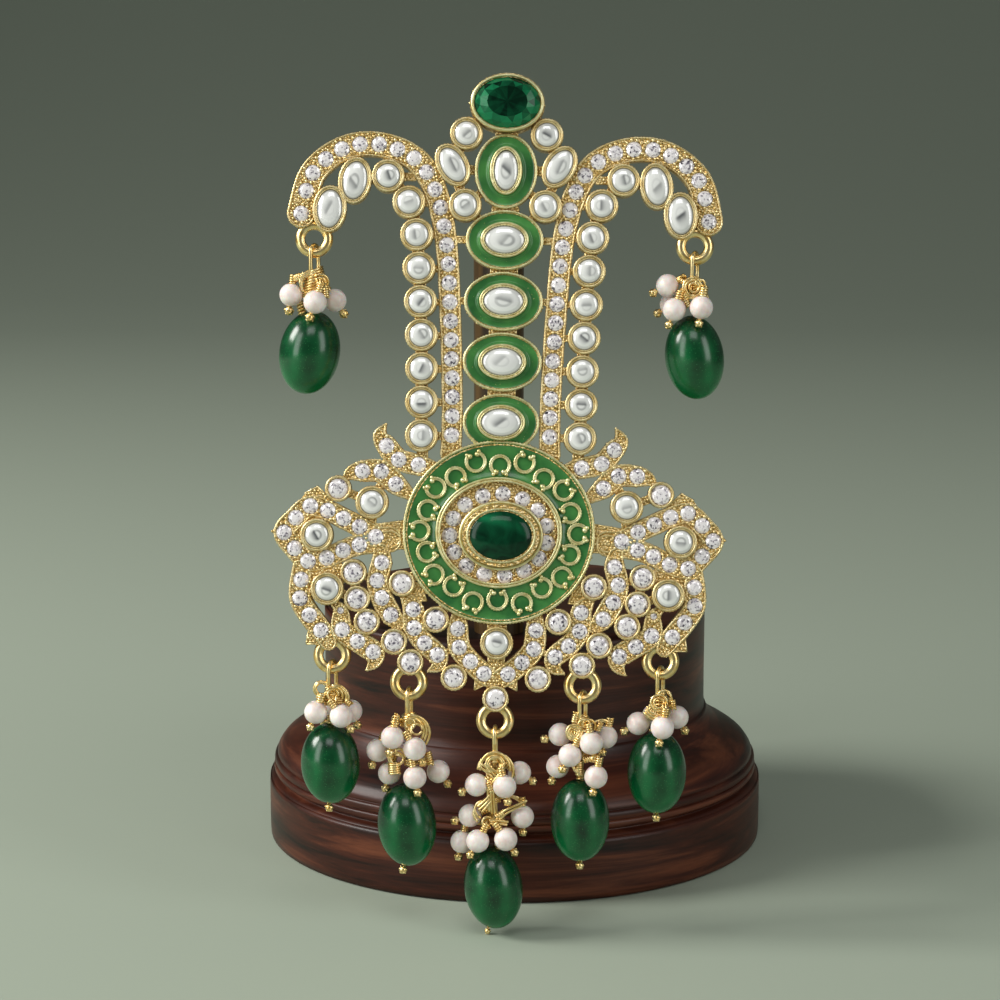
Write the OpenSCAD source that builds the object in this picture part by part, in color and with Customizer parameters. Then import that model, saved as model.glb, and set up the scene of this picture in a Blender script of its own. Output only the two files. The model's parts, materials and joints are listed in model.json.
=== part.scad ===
/* [Whole piece] */
// Backward lean of the jewelled plate, in degrees
plate_lean = 10; // [4:0.5:12]
// Clockwise turn of the plate as it hangs, in degrees
hang_roll = 1.15; // [0:0.05:2]
// Height of the rosette's centre above the table
rosette_z = 68.06; // [67:0.1:72]
// How far the rosette's centre stands in front of the foot's centre
rosette_reach = 55.57; // [54:0.1:58]
// Sideways place of the rosette's centre
rosette_x = -3; // [-4:0.1:0]

/* [Casting] */
// Thickness of the pierced gold plate
plate_t = 1.9; // [1.6:0.1:2.2]
// Height of the rims around the enamel fields
rim_t = 2.4; // [2.2:0.1:2.8]
// Height of the collars around the foil-backed stones
collar_t = 2.8; // [2.5:0.1:3.2]
// Height of the bezels in the middle of each enamel oval
bezel_t = 3.3; // [3:0.1:3.8]
// Radius of the round wire of the hanging eyes
eye_wire = 0.82; // [0.7:0.02:0.9]
// Radius of a hanging eye, to the middle of its wire
eye_r = 2.32; // [2.2:0.02:2.5]

/* [Stones] */
// Radius of a small brilliant
small_r = 1.27; // [1.1:0.01:1.3]
// Radius of a large brilliant
large_r = 1.62; // [1.4:0.01:1.7]
// Radius of a round foil-backed stone
foil_r = 1.85; // [1.6:0.05:1.95]
// Clearance between a stone and its seat
seat_gap = 0.08; // [0.05:0.01:0.12]

/* [Drops] */
// Radius of a pearl
pearl_r = 1.95; // [1.7:0.05:1.95]
// Radius of a green bead
bead_r = 4.95; // [4.5:0.05:5]
// Radius of the drop wire
wire_r = 0.35; // [0.3:0.01:0.36]
// Radius of a pearl's head pin
pin_r = 0.25; // [0.2:0.01:0.26]
// Radius of the ball that ends a pin
ball_r = 0.7; // [0.5:0.05:0.75]
// Straight length of a jump link
link_l = 3.2; // [3:0.1:3.6]

/* [Stand] */
// Radius of the turned foot
foot_r = 47; // [44:0.5:50]
// Radius of the turned column
column_r = 36.2; // [35:0.1:38]
// Height of the column's top above the table
column_z = 45; // [42:0.5:48]
// Radius of the upright post
post_r = 4.4; // [4:0.1:5]
// Height of the post's top above the table
post_z = 112.6; // [108:0.1:113]

/* [Hidden] */
fine = 64;
round_n = 24;
corner_n = 10;

// Radius of the round gold around a stone's middle
large_edge = 2.2;
foil_edge = 2.75;

// Rosette: half sizes of its rim, inner ring and middle bezel, and the stones' ring
rosette = [16, 15.3];
rosette_rim = 0.75;
inner_ring = [10.5, 9.2];
inner_wall = 0.7;
middle_place = [0.35, -0.5];
middle_bezel = [6.4, 5.15];
middle_stone = [5.1, 4];
ring_stones = 15;
ring_path = [8.2, 6.85];
ring_start = 86;

// Crest stone: place, half sizes of its bezel and of the stone
crest_place = [0, 71.4];
crest_bezel = [6.25, 4.95];
crest_stone = [5.45, 4.15];

// Enamel ovals: height on the plate, then half sizes of rim, bezel and stone
OVAL_V = 0;
OVAL_RIM = 1;
OVAL_BEZEL = 2;
OVAL_STONE = 3;
ovals = [
    [60.2, [5.23, 6.26], [2.66, 4.0], [2.05, 3.35]],
    [48.7, [6.48, 5.0], [3.98, 2.93], [3.4, 2.35]],
    [38.5, [6.58, 4.92], [3.98, 2.93], [3.4, 2.35]],
    [28.4, [6.58, 4.92], [3.98, 2.93], [3.4, 2.35]],
    [18.3, [6.38, 4.83], [3.98, 2.93], [3.4, 2.35]]
];

// Oval foil-backed stones of the right half: u, v, half width, half height, lean
foil_ovals = [
    [8.9, 61.0, 1.75, 2.95, -31],
    [29.2, 53.3, 1.95, 3.05, 4],
    [25.1, 58.1, 1.9, 3.05, 8]
];
crown_rounds = [[6.7, 66.3], [6.7, 54.4]];
wing_rounds = [[21.2, 4.6], [30.3, -1.0], [28.4, -9.9]];
tail_round = [0, -18.4];

// Stone lines of the right arm: the outer pave line and the inner foil-backed line
arm_line = [[34, 52.5], [32.2, 59.3], [27.2, 63.5], [21.2, 64.3], [15.2, 62], [11.7, 56.8],
    [9.7, 48], [8.75, 35], [8.2, 22], [8.2, 15.7], [8.3, 12.9]];
arm_half = [2.4, 2.2, 2.1, 2.1, 2.1, 2.0, 1.85, 1.8, 1.75, 1.75, 1.75];
arm_stones = 24;
arm_pitch = 3.17;
arm_first = 3.9;
foil_line = [[19.6, 59], [16.1, 54.8], [14.7, 49.6], [14.2, 44], [13.7, 36], [13.4, 27.2],
    [13.2, 15.9]];
foil_stones = 9;

// Ribbons of the right wing: u, v, half width and the radius of the stone there, or 0
s = small_r;
ribbons = [
    [[19.1, 17.8, 0.1, 0], [20.1, 15.9, 1.2, 0], [19.0, 14.1, 1.75, s], [16.9, 11.8, 1.8, s],
        [13.6, 11.0, 1.8, s], [11.6, 10.4, 1.5, 0]],
    [[26.2, 8.2, 0.1, 0], [24.9, 9.3, 1.2, 0], [22.9, 9.8, 1.8, s], [19.8, 9.8, 1.9, s],
        [17.3, 7.7, 1.8, s], [15.2, 6.2, 1.1, 0]],
    [[18.0, -1.2, 1.9, 0], [20.5, -1.1, 1.9, s], [23.2, 0.5, 1.75, s], [25.9, 1.8, 1.75, s],
        [28.6, 3.1, 1.75, s], [31.5, 3.8, 1.8, s], [33.9, 1.8, 1.8, s], [35.8, -0.7, 1.8, s],
        [34.0, -3.3, 1.8, s], [31.7, -5.4, 1.75, s], [28.6, -4.8, 1.75, s], [25.9, -3.5, 1.75, s],
        [23.2, -2.5, 1.75, s], [18.0, -1.8, 1.9, 0]],
    [[32.9, -6.4, 1.4, 0], [32.8, -8.5, 1.85, s], [32.9, -11.6, 1.85, s], [31.3, -14.4, 1.85, s],
        [29.3, -16.9, 1.8, s], [28.0, -18.9, 1.4, 0]],
    [[19.6, -3.4, 1.3, 0], [19.4, -5.4, 1.75, s], [20.1, -8.4, 1.8, s], [19.3, -11.3, 1.85, s],
        [17.7, -14.1, 1.8, s], [16.3, -15.6, 1.1, 0]],
    [[15.3, -11.0, 1.0, 0], [14.0, -13.1, 1.8, s], [13.8, -16.2, 1.8, s], [12.0, -18.7, 1.8, s],
        [9.8, -20.6, 1.75, s], [9.7, -22.4, 1.2, 0], [11.5, -23.4, 0.15, 0]],
    [[27.6, -12.3, 0.4, 0], [26.1, -13.5, 1.3, 0.55], [25.8, -16.7, 1.8, s], [23.2, -18.6, 1.8, s],
        [20.5, -20.3, 1.9, s], [20.4, -22.1, 1.2, 0], [21.7, -23.5, 0.1, 0]],
    [[6.4, -14.4, 1.4, 0], [6.5, -16.2, 1.75, s], [6.2, -19.3, 1.85, s], [4.3, -21.6, 1.8, s],
        [2.0, -23.6, 1.8, s], [0, -24.9, 1.5, 0]]
];
large_places = [[26.9, 6.8], [24.1, -7.1], [23.4, -11.5], [21.7, -15.3], [16.0, -8.8],
    [10.2, -14.7], [17.1, -18.5], [14.3, -21.9], [7.0, -24.3]];
tail_large = [0, -27.7];

// Plain gold between the ribbons of the right wing: corner points, barbs and solder webs
fillets = [
    [[33.6, 4.2], [32.3, 6.0], [30.3, 7.1], [28.9, 5.6], [27.6, 4.4], [30, 3]],
    [[36.1, 1.2], [37.9, -0.5], [36.3, -2.5], [34.5, -0.6]],
    [[35.0, -3.6], [33.6, -6.3], [31.5, -7.1], [31.5, -5]],
    [[31.2, -15.6], [31.7, -19.2], [29.0, -19.2], [28.5, -17]],
    [[28.8, 3], [31.5, 3.8], [34, 1.8], [35.8, -0.6], [34, -3.2], [31.7, -5.2], [28.7, -4.8],
        [27.9, -1]],
    [[33, -6], [26.5, -5.4], [24, -7], [26, -9.2], [31, -9.2]],
    [[21.5, 0.8], [15.6, 1.7], [15.4, -3.0], [20.5, -3.2]],
    [[15.3, -7.4], [12.6, -9.4], [11.8, -11.6], [14.6, -11.8], [16.4, -9.6]],
    [[3.4, -22.4], [3.5, -26.3], [1.0, -25.0]]
];
// Short solder ties of the right half: from u, v to u, v, and half width
ties = [
    [21.2, 4.6, 19.2, 8.6, 0.7], [21.2, 4.6, 26.9, 6.8, 0.6], [21.2, 4.6, 21.4, 0.4, 0.8],
    [28.4, -9.9, 23.4, -11.5, 0.6], [28.4, -9.9, 26.1, -13.6, 0.6], [24.1, -7.1, 20.1, -8.4, 0.6],
    [24.1, -7.1, 23.4, -11.5, 0.7], [21.7, -15.3, 18.7, -12.8, 0.6], [17.1, -18.5, 14.3, -21.9, 0.6],
    [14.3, -21.9, 12.0, -18.7, 0.6], [17.1, -18.5, 13.8, -16.2, 0.6], [16.0, -8.8, 13.2, -7.0, 0.7],
    [16.0, -8.8, 19.3, -10, 0.7], [10.2, -14.7, 8.6, -12.4, 0.8], [10.2, -14.7, 14.0, -13.1, 0.6],
    [9.8, -20.6, 6.2, -19.3, 0.5], [7.0, -24.3, 4.3, -21.6, 0.6], [0, -14.8, 0, -18.4, 1.5],
    [0, -18.4, 0, -25.2, 1.3], [13.2, 16, 13.0, 11.5, 0.9], [6.7, 66.3, 4.6, 68.6, 0.7],
    [6.7, 66.3, 8.9, 61, 0.7], [8.9, 61, 4.6, 60.2, 0.6], [8.9, 61, 6.7, 54.4, 0.7],
    [6.7, 54.4, 4.0, 56.6, 0.6], [6.7, 54.4, 4.0, 51.8, 0.6], [0, 66.4, 1.8, 66.4, 0.6],
    [19.6, 59, 20, 63, 0.6], [19.6, 59, 25.1, 58.1, 0.8], [25.1, 58.1, 29.2, 53.3, 0.8],
    [29.2, 53.3, 33.4, 54.4, 0.8]
];

// Hanging eyes: name, then u and v of the ring's middle on the plate
EYE_NAME = 0;
EYE_U = 1;
EYE_V = 2;
eyes = [["top_left", -31.8, 48.4], ["top_right", 31.8, 48.4], ["1", -27.4, -21.0],
    ["2", -14.5, -25.3], ["3", 0, -31.4], ["4", 14.5, -25.3], ["5", 27.4, -21.0]];
eye_w = 0.95;

// Green bead of each drop, from the hinge: x, z of its middle, half height, lean, radius and end ball
BEAD_X = 0;
BEAD_Z = 1;
BEAD_H = 2;
BEAD_LEAN = 3;
BEAD_R = 4;
BEAD_BALL = 5;
beads = [[-1.0, -16.7, 7.1, 10, bead_r + 0.15, 0], [0.15, -16.3, 7.1, -8, bead_r, 0],
    [-0.5, -16.3, 6.9, -2, bead_r, ball_r], [-0.5, -22.3, 7.1, -5, bead_r, ball_r],
    [-0.3, -26.6, 7.2, -7, bead_r, ball_r], [-0.3, -20.9, 7.1, 0, bead_r, ball_r],
    [-0.4, -16.7, 7.1, 0, bead_r, ball_r]];

// Pearls of each drop, from the hinge: x, y, z, lean of the head pin, x and z of its wire's start
pearls = [
    [[-3.9, -1.1, -6.9, -8, -1.6, -5.2], [0.3, -3.6, -7.9, -20, 0, -6.5],
        [3.3, 0.7, -8.0, 33, 1.1, -6.4], [-0.3, 3.9, -7.8, 0, 0, -6.7]],
    [[-4.5, 0, -4.2, -63, -1.1, -4.1], [-3.5, -2.5, -8.0, -19, -1.1, -6.3],
        [0.9, -3.7, -7.5, -8, 1.1, -4.1], [-3.7, 2.2, -7.6, -57, -1.1, -6.3]],
    [[-2.7, -1.9, -7.0, -20, -1.6, -5.2], [1.6, -2.9, -7.4, 35, 1.1, -4.1],
        [2.9, 1.9, -7.8, 25, 1.1, -6.3], [-1.4, 4.0, -7.5, -8, 0, -6.8]],
    [[-2.7, -2.7, -6.4, -10, -1.1, -4.1], [-5.3, 0.4, -9.5, -21, 0, -7.4],
        [1.0, -2.9, -8.3, 28, 0, -6.8], [-3.4, 0.9, -13.6, -14, 0, -11.2],
        [1.0, -3.1, -13.2, 10, 0, -10.8], [4.8, 0.5, -13.2, 37, 0, -11.0]],
    [[-3.1, -1.2, -8.4, -63, -0.6, -6.7], [1.6, -2.5, -8.3, 11, 0, -6.8],
        [4.1, 1.2, -7.0, 57, 1.6, -5.2], [-4.2, 0, -14.1, -70, 0, -11.6],
        [4.6, 0, -14.3, 2, 0, -11.2], [-2.9, -2.4, -17.8, -27, 0, -14.6],
        [1.8, -2.7, -17.4, 33, 0, -14.8], [-5.6, 0.8, -18.9, -12, 0, -16.2]],
    [[-3.7, 1.3, -6.4, -73, -1.6, -5.2], [1.4, -2.6, -6.8, 8, 1.1, -4.1],
        [4.0, 0.9, -6.7, -12, 1.4, -4.5], [-2.1, -2.3, -9.0, -28, 0, -6.8],
        [-4.1, 0.4, -11.7, -21, 0, -9.4], [2.2, -3.4, -12.4, -10, 0, -10.2]],
    [[-3.6, 0, -8.3, -60, -0.6, -6.7], [0.2, -3.8, -8.0, -10, 0, -6.7],
        [3.0, 1.4, -7.6, 30, 1.1, -6.3], [-0.8, 3.9, -8.0, 0, 0, -6.8]]
];

drop_parts = ["link", "wire", "pearls", "bead"];

// Smooth line through hand-placed points: each row is blended with its neighbours
function row(p, i) = p[max(0, min(len(p) - 1, i))];
function blend(a, b, c, d, t) =
    (2 * b + (c - a) * t + (2 * a - 5 * b + 4 * c - d) * t * t + (3 * b - a - 3 * c + d) * t * t * t) / 2;
function smooth(p, steps = 2) = [
    for (i = [0 : len(p) - 2]) for (k = [0 : steps - 1])
        blend(row(p, i - 1), row(p, i), row(p, i + 1), row(p, i + 2), k / steps),
    p[len(p) - 1]
];
function flat(p) = [p[0], p[1]];
function runs(c) = [for (i = 0, d = 0; i < len(c); d = d + norm(flat(row(c, i + 1)) - flat(c[i])), i = i + 1) d];
// Place on a line at a distance from its start
function place_on(c, l, d, i = 0) =
    i >= len(c) - 2 || l[i + 1] >= d
        ? c[i] + (c[i + 1] - c[i]) * (d - l[i]) / (l[i + 1] - l[i])
        : place_on(c, l, d, i + 1);
function unit(v) = v / norm(v);
function normal(c, i) = let (t = unit(flat(row(c, i + 1)) - flat(row(c, i - 1)))) [-t[1], t[0]];
function turned(p, a) = [p[0] * cos(a) + p[1] * sin(a), p[1] * cos(a) - p[0] * sin(a)];
function on_ellipse(size, a) = [size[0] * cos(a), size[1] * sin(a)];
function ellipse(size, n = 32) = [for (i = [0 : n - 1]) on_ellipse(size, 360 * i / n)];
function mirrored(places) = [for (p = places) [for (i = [0 : len(p) - 1]) i == 0 ? -p[i] : p[i]]];

arm_curve = smooth([for (i = [0 : len(arm_line) - 1]) concat(arm_line[i], [arm_half[i]])], 4);
arm_runs = runs(arm_curve);
arm_places = [for (i = [0 : arm_stones - 1])
    flat(place_on(arm_curve, arm_runs, i == 0 ? 0 : arm_first + (i - 1) * arm_pitch))];
foil_curve = smooth(foil_line, 3);
foil_runs = runs(foil_curve);
foil_places = [for (i = [0 : foil_stones - 1])
    place_on(foil_curve, foil_runs, i * foil_runs[len(foil_runs) - 1] / (foil_stones - 1))];
ring_places = [for (i = [0 : ring_stones - 1])
    [0, middle_place[1] + 0.1] + on_ellipse(ring_path, ring_start + 360 * i / ring_stones)];
wing_places = [for (r = ribbons) for (p = r) if (p[3] > 0) [p[0], p[1], p[3]]];

// Where a place on the plate lies in space
function rolled(p) = turned(p, hang_roll);
function in_space(u, v, w) = let (p = rolled([u, v])) [
    rosette_x + p[0],
    -rosette_reach + p[1] * sin(plate_lean) - w * cos(plate_lean),
    rosette_z + p[1] * cos(plate_lean) + w * sin(plate_lean)
];
function hinge(i) = in_space(eyes[i][EYE_U], eyes[i][EYE_V], eye_w)
    - eye_r * [0, sin(plate_lean), cos(plate_lean)];

module on_plate() {
    translate([rosette_x, -rosette_reach, rosette_z]) rotate([90 - plate_lean, 0, 0])
        rotate([0, 0, -hang_roll]) children();
}
module both() {
    children();
    mirror([1, 0]) children();
}

// Flat band along a line whose rows are u, v and half width
module band(c) {
    n = len(c) - 1;
    polygon(concat(
        [for (i = [0 : n]) flat(c[i]) + normal(c, i) * c[i][2]],
        [for (i = [n : -1 : 0]) flat(c[i]) - normal(c, i) * c[i][2]]));
    for (p = [c[0], c[n]]) if (p[2] > 0.6) translate(flat(p)) circle(r = p[2], $fn = corner_n);
}
module oval_at(v, size) {
    translate([0, v]) polygon(ellipse(size));
}

// Outline of the right half of the pierced plate, with every web and tie
module half_outline() {
    band(arm_curve);
    band([for (p = foil_curve) concat(p, [0.9])]);
    for (r = ribbons) band(smooth([for (p = r) [p[0], p[1], p[2]]]));
    for (f = fillets) polygon(f);
    for (t = ties) band([[t[0], t[1], t[4]], [t[2], t[3], t[4]]]);
    for (p = foil_places) band([[p[0], p[1], 0.55], [max(8.4, p[0] - 4.6), p[1], 0.55]]);
    for (o = ovals) band([[0, o[OVAL_V], 0.5], [8.4, o[OVAL_V], 0.5]]);
    for (i = [1 : len(ovals) - 1])
        band([[0, ovals[i][OVAL_V] + ovals[i][OVAL_RIM][1], 0.7],
            [2.2, ovals[i][OVAL_V] + ovals[i][OVAL_RIM][1], 0.5]]);
}
module outline() {
    offset(delta = -0.1) offset(delta = 0.1) {
        both() half_outline();
        polygon(ellipse(rosette, 56));
        for (o = ovals) oval_at(o[OVAL_V], o[OVAL_RIM]);
        translate(crest_place) polygon(ellipse(crest_bezel));
    }
}

// Open ring of gold wire with curled ball ends, its opening along +Y, grown by a clearance
module omega(height, grow = 0) {
    omega_r = 1.58;
    half_wire = 0.24 + grow;
    opening = 42;
    rotate(90 + opening) rotate_extrude(angle = 360 - 2 * opening, $fn = fine)
        translate([omega_r - half_wire, 0]) square([2 * half_wire, height]);
    for (side = [-1, 1]) translate([side * 0.78, omega_r - 0.42, 0])
        cylinder(r = 0.45 + grow, h = height, $fn = round_n);
}
// Twenty wire rings, in two rows that open to the outer rim and to the inner ring
module omegas(height, grow = 0) {
    outer_row = [13.2, 12.3];
    inner_row = [12.5, 11.2];
    for (i = [0 : 9]) {
        outer = on_ellipse(outer_row, 36 * i);
        inner = on_ellipse(inner_row, 18 + 36 * i);
        translate(outer) rotate(atan2(outer[1], outer[0]) - 90) omega(height, grow);
        translate(inner) rotate(atan2(inner[1], inner[0]) + 90) omega(height, grow);
    }
}

// Raised walls of the casting, stacked on the plate
module wall(outer, inner, height, n = 32, base = 1.2) {
    translate([0, 0, base]) linear_extrude(height - base) difference() {
        polygon(ellipse(outer, n));
        polygon(ellipse(inner, n));
    }
}
module rims() {
    wall(rosette - [0.06, 0.06], rosette - [rosette_rim, rosette_rim], rim_t, 56);
    wall(inner_ring, inner_ring - [inner_wall, inner_wall], rim_t + 0.6, 40);
    translate(middle_place) wall(middle_bezel, middle_stone + [seat_gap, seat_gap], bezel_t + 0.8);
    translate(crest_place)
        wall(crest_bezel - [0.06, 0.06], crest_stone + [seat_gap, seat_gap], bezel_t + 0.6);
    for (i = [0 : len(ovals) - 1]) {
        o = ovals[i];
        difference() {
            translate([0, o[OVAL_V]])
                wall(o[OVAL_RIM] - [0.06, 0.06], o[OVAL_RIM] - [0.5, 0.5], rim_t);
            if (i == len(ovals) - 1)
                translate([0, 0, 1]) linear_extrude(3) polygon(ellipse(rosette - [0.1, 0.1], 56));
        }
        translate([0, o[OVAL_V]])
            wall(o[OVAL_BEZEL], o[OVAL_STONE] + [seat_gap, seat_gap], bezel_t);
    }
}
module posts(places, r, height) {
    for (p = places) translate([p[0], p[1], 0.1]) cylinder(r = r, h = height - 0.1, $fn = fine);
}
module seats(places, r, floor_w) {
    for (p = places) translate([p[0], p[1], floor_w])
        cylinder(r = (len(p) > 2 ? p[2] : r) + seat_gap, h = 5, $fn = fine);
}
module both_seats(places, r, floor_w) {
    seats(places, r, floor_w);
    seats(mirrored(places), r, floor_w);
}
all_foil = concat(foil_places, crown_rounds, wing_rounds);
stone_depth = 0.85;

// Boss on the back that takes the turban pin
boss_v = 53.4;
boss_r = 2.4;
boss_l = 2.6;
turban_r = 1.2;
pin_gap = 0.1;

module casting() {
    color("goldenrod") on_plate() {
        difference() {
            union() {
                linear_extrude(plate_t) outline();
                posts(concat(all_foil, mirrored(all_foil), [tail_round]), foil_edge, collar_t);
                posts(concat(large_places, mirrored(large_places), [tail_large]), large_edge,
                    plate_t + 0.4);
                both() for (o = foil_ovals) translate([o[0], o[1], 0.1]) rotate(o[4])
                    linear_extrude(collar_t - 0.1) polygon(ellipse([o[2] + 0.8, o[3] + 0.8], 24));
                translate([0, boss_v, 0.5 - boss_l]) cylinder(r = boss_r, h = boss_l, $fn = fine);
            }
            both_seats(all_foil, foil_r, 1.2);
            seats([tail_round], foil_r, 1.2);
            both_seats(concat(large_places, [tail_large]), large_r, 1.0);
            both_seats(concat(arm_places, wing_places), small_r, 0.9);
            seats(ring_places, small_r, 0.9);
            both() for (o = foil_ovals) translate([o[0], o[1], 1.2]) rotate(o[4])
                linear_extrude(5) polygon(ellipse([o[2] + seat_gap, o[3] + seat_gap], 24));
            translate([0, 0, 1.5]) linear_extrude(5) difference() {
                polygon(ellipse(rosette - 1.03 * [rosette_rim, rosette_rim], 56));
                polygon(ellipse(inner_ring - [0.1, 0.1], 40));
            }
            translate([0, boss_v, -5]) cylinder(r = turban_r + pin_gap, h = 5.6, $fn = fine);
        }
        rims();
        translate([0, 0, 1.4]) omegas(rim_t - 1.4);
        for (e = eyes) translate([e[EYE_U], e[EYE_V], eye_w]) rotate_extrude($fn = fine)
            translate([eye_r, 0]) circle(r = eye_wire, $fn = round_n);
    }
}

enamel_gap = 0.06;
module enamel_rosette() {
    depth = 0.6;
    color("forestgreen") on_plate() translate([0, 0, 1.5 + enamel_gap]) difference() {
        linear_extrude(depth) difference() {
            polygon(ellipse(rosette - [rosette_rim, rosette_rim] - 2 * [enamel_gap, enamel_gap], 56));
            polygon(ellipse(inner_ring + [enamel_gap, enamel_gap], 40));
        }
        translate([0, 0, -1]) omegas(depth + 2, enamel_gap);
    }
}
module enamel_ovals() {
    color("forestgreen") on_plate() for (o = ovals)
        translate([0, 0, plate_t + enamel_gap]) linear_extrude(0.4) difference() {
            oval_at(o[OVAL_V], o[OVAL_RIM] - [0.5, 0.5] - [enamel_gap, enamel_gap]);
            oval_at(o[OVAL_V], o[OVAL_BEZEL] + [enamel_gap, enamel_gap]);
            polygon(ellipse(rosette + [enamel_gap, enamel_gap], 56));
        }
}

// Cut stone: flat table, a crown of twice n triangles and a pavilion that meets in a point
module gem(size, crown, depth, n = 8, table = 0.58) {
    step = 360 / n;
    points = concat(
        [[0, 0, -depth]],
        [for (i = [0 : n - 1]) [size[0] * cos(i * step), size[1] * sin(i * step), 0]],
        [for (i = [0 : n - 1]) [table * size[0] * cos((i + 0.5) * step),
            table * size[1] * sin((i + 0.5) * step), crown]]);
    faces = concat(
        [for (i = [0 : n - 1]) [0, 1 + i, 1 + (i + 1) % n]],
        [for (i = [0 : n - 1]) [1 + i, n + 1 + i, 1 + (i + 1) % n]],
        [for (i = [0 : n - 1]) [n + 1 + i, n + 1 + (i + 1) % n, 1 + (i + 1) % n]],
        [[for (i = [n - 1 : -1 : 0]) n + 1 + i]]);
    polyhedron(points, faces);
}
module pave(places, r = small_r) {
    color("ghostwhite") on_plate() for (p = places) {
        size = len(p) > 2 ? p[2] : r;
        translate([p[0], p[1], plate_t - 0.05]) gem([size, size], 0.42 * size, stone_depth * size / small_r);
    }
}
module large_pave(places) {
    color("ghostwhite") on_plate() for (p = places)
        translate([p[0], p[1], plate_t + 0.2]) gem([large_r, large_r], 0.7, 0.6);
}
module foil(places) {
    color("white") on_plate() for (p = places)
        translate([p[0], p[1], collar_t - 0.3]) gem([foil_r, foil_r], 0.6, 1.2, 10, 0.62);
}
module foil_oval(places) {
    color("white") on_plate() for (o = places) translate([o[0], o[1], collar_t - 0.3]) rotate(o[4])
        gem([o[2], o[3]], 0.6, 1.2, 12, 0.62);
}
function lean_mirrored(places) = [for (o = places) [-o[0], o[1], o[2], o[3], -o[4]]];

module crest_stone() {
    color("darkgreen") on_plate() translate(concat(crest_place, [bezel_t + 0.3]))
        gem(crest_stone, 1.3, 1.5, 24, 0.5);
}
module rosette_stone() {
    color("darkgreen") on_plate() translate(concat(middle_place, [bezel_t + 0.5]))
        gem(middle_stone, 1.0, 1.6, 24, 0.62);
}
module column_stones() {
    color("white") on_plate() for (o = ovals)
        translate([0, o[OVAL_V], bezel_t - 0.25]) gem(o[OVAL_STONE], 0.6, 1.1, 16, 0.62);
}

// Drop pieces, drawn from the hinge of drop i
module at_hinge(i) {
    translate(hinge(i)) children();
}
module rod(a, b, r) {
    d = b - a;
    translate(a) rotate([0, acos(d[2] / norm(d)), atan2(d[1], d[0])])
        cylinder(r = r, h = norm(d), $fn = fine);
}
link_bend = 1.32;
loop_r = 1.6;
loop_wire = 0.45;
loop_z = -(link_l + link_bend - wire_r) + 0.1 + loop_wire - loop_r;

module link(i) {
    color("gold") at_hinge(i) rotate([0, 90, 0]) {
        rotate([0, 0, 90]) rotate_extrude(angle = 180, $fn = fine)
            translate([link_bend, 0]) circle(r = wire_r, $fn = round_n);
        translate([link_l, 0, 0]) rotate([0, 0, -90]) rotate_extrude(angle = 180, $fn = fine)
            translate([link_bend, 0]) circle(r = wire_r, $fn = round_n);
        for (side = [-1, 1]) translate([0, side * link_bend, 0]) rotate([0, 90, 0])
            cylinder(r = wire_r, h = link_l, $fn = round_n);
    }
}
function pin_way(p) = [sin(p[3]), 0, -cos(p[3])];
function spot(p) = [p[0], p[1], p[2]];
function bead_way(b) = [sin(b[BEAD_LEAN]), 0, -cos(b[BEAD_LEAN])];
function bead_spot(b) = [b[BEAD_X], 0, b[BEAD_Z]];
module head_pin(p) {
    start = [p[4], 0, p[5]];
    top = spot(p) - pin_way(p) * (pearl_r + 0.42);
    end = spot(p) + pin_way(p) * (pearl_r + 0.1 + ball_r);
    rod(start, top, pin_r);
    rod(top, end, pin_r);
    translate(top) sphere(r = pin_r + 0.04, $fn = round_n);
    translate(end) sphere(r = ball_r, $fn = round_n);
}
module wire(i) {
    b = beads[i];
    neck = bead_spot(b) - bead_way(b) * (b[BEAD_H] + 0.4);
    ball = b[BEAD_BALL];
    end = bead_spot(b) + bead_way(b) * (b[BEAD_H] + (ball > 0 ? 0.1 + ball : -1.5));
    color("gold") at_hinge(i) {
        translate([0, 0, loop_z]) rotate([90, 0, 0]) rotate_extrude($fn = fine)
            translate([loop_r, 0]) circle(r = loop_wire, $fn = round_n);
        rod([0, 0, loop_z - loop_r], neck, wire_r);
        rod(neck, end, wire_r);
        translate(neck) sphere(r = wire_r + 0.05, $fn = round_n);
        if (ball > 0) translate(end) sphere(r = ball, $fn = round_n);
        for (p = pearls[i]) head_pin(p);
    }
}
module pearl_set(i) {
    bore = pin_r + 0.1;
    color("seashell") at_hinge(i) for (p = pearls[i])
        translate(spot(p)) rotate([0, -p[3], 0]) rotate_extrude($fn = fine) difference() {
            circle(r = pearl_r, $fn = fine);
            translate([bore - 3 * pearl_r, -2 * pearl_r]) square([3 * pearl_r, 4 * pearl_r]);
        }
}
module bead(i) {
    b = beads[i];
    bore = wire_r + 0.1;
    steps = 20;
    first = asin(bore / b[BEAD_R]);
    side = [for (k = [0 : steps]) let (a = first + (180 - 2 * first) * k / steps)
        [b[BEAD_R] * sin(a), b[BEAD_H] * cos(a)]];
    color("green") at_hinge(i) translate(bead_spot(b)) rotate([0, -b[BEAD_LEAN], 0])
        rotate_extrude($fn = fine) polygon(side);
}

// Turned foot and column: radius and height of each step of the profile
dowel_depth = 8;
post_place = [-3, -28.5];
foot_side = [[foot_r - 1.2, 0], [foot_r, 1.2], [foot_r, 10.6], [foot_r - 0.5, 11.6], [foot_r - 1.6, 11.9],
    [foot_r - 1.6, 12.3], [foot_r - 0.8, 13], [foot_r - 1, 15], [foot_r - 1.8, 16.8],
    [foot_r - 3.1, 18.3], [foot_r - 5.2, 19.7], [foot_r - 7.8, 21], [foot_r - 9.4, 22.6],
    [column_r + 0.4, 24.4], [column_r, 26.4], [column_r, column_z - 1.6],
    [column_r - 0.5, column_z - 0.5], [column_r - 1.6, column_z]];

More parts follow.
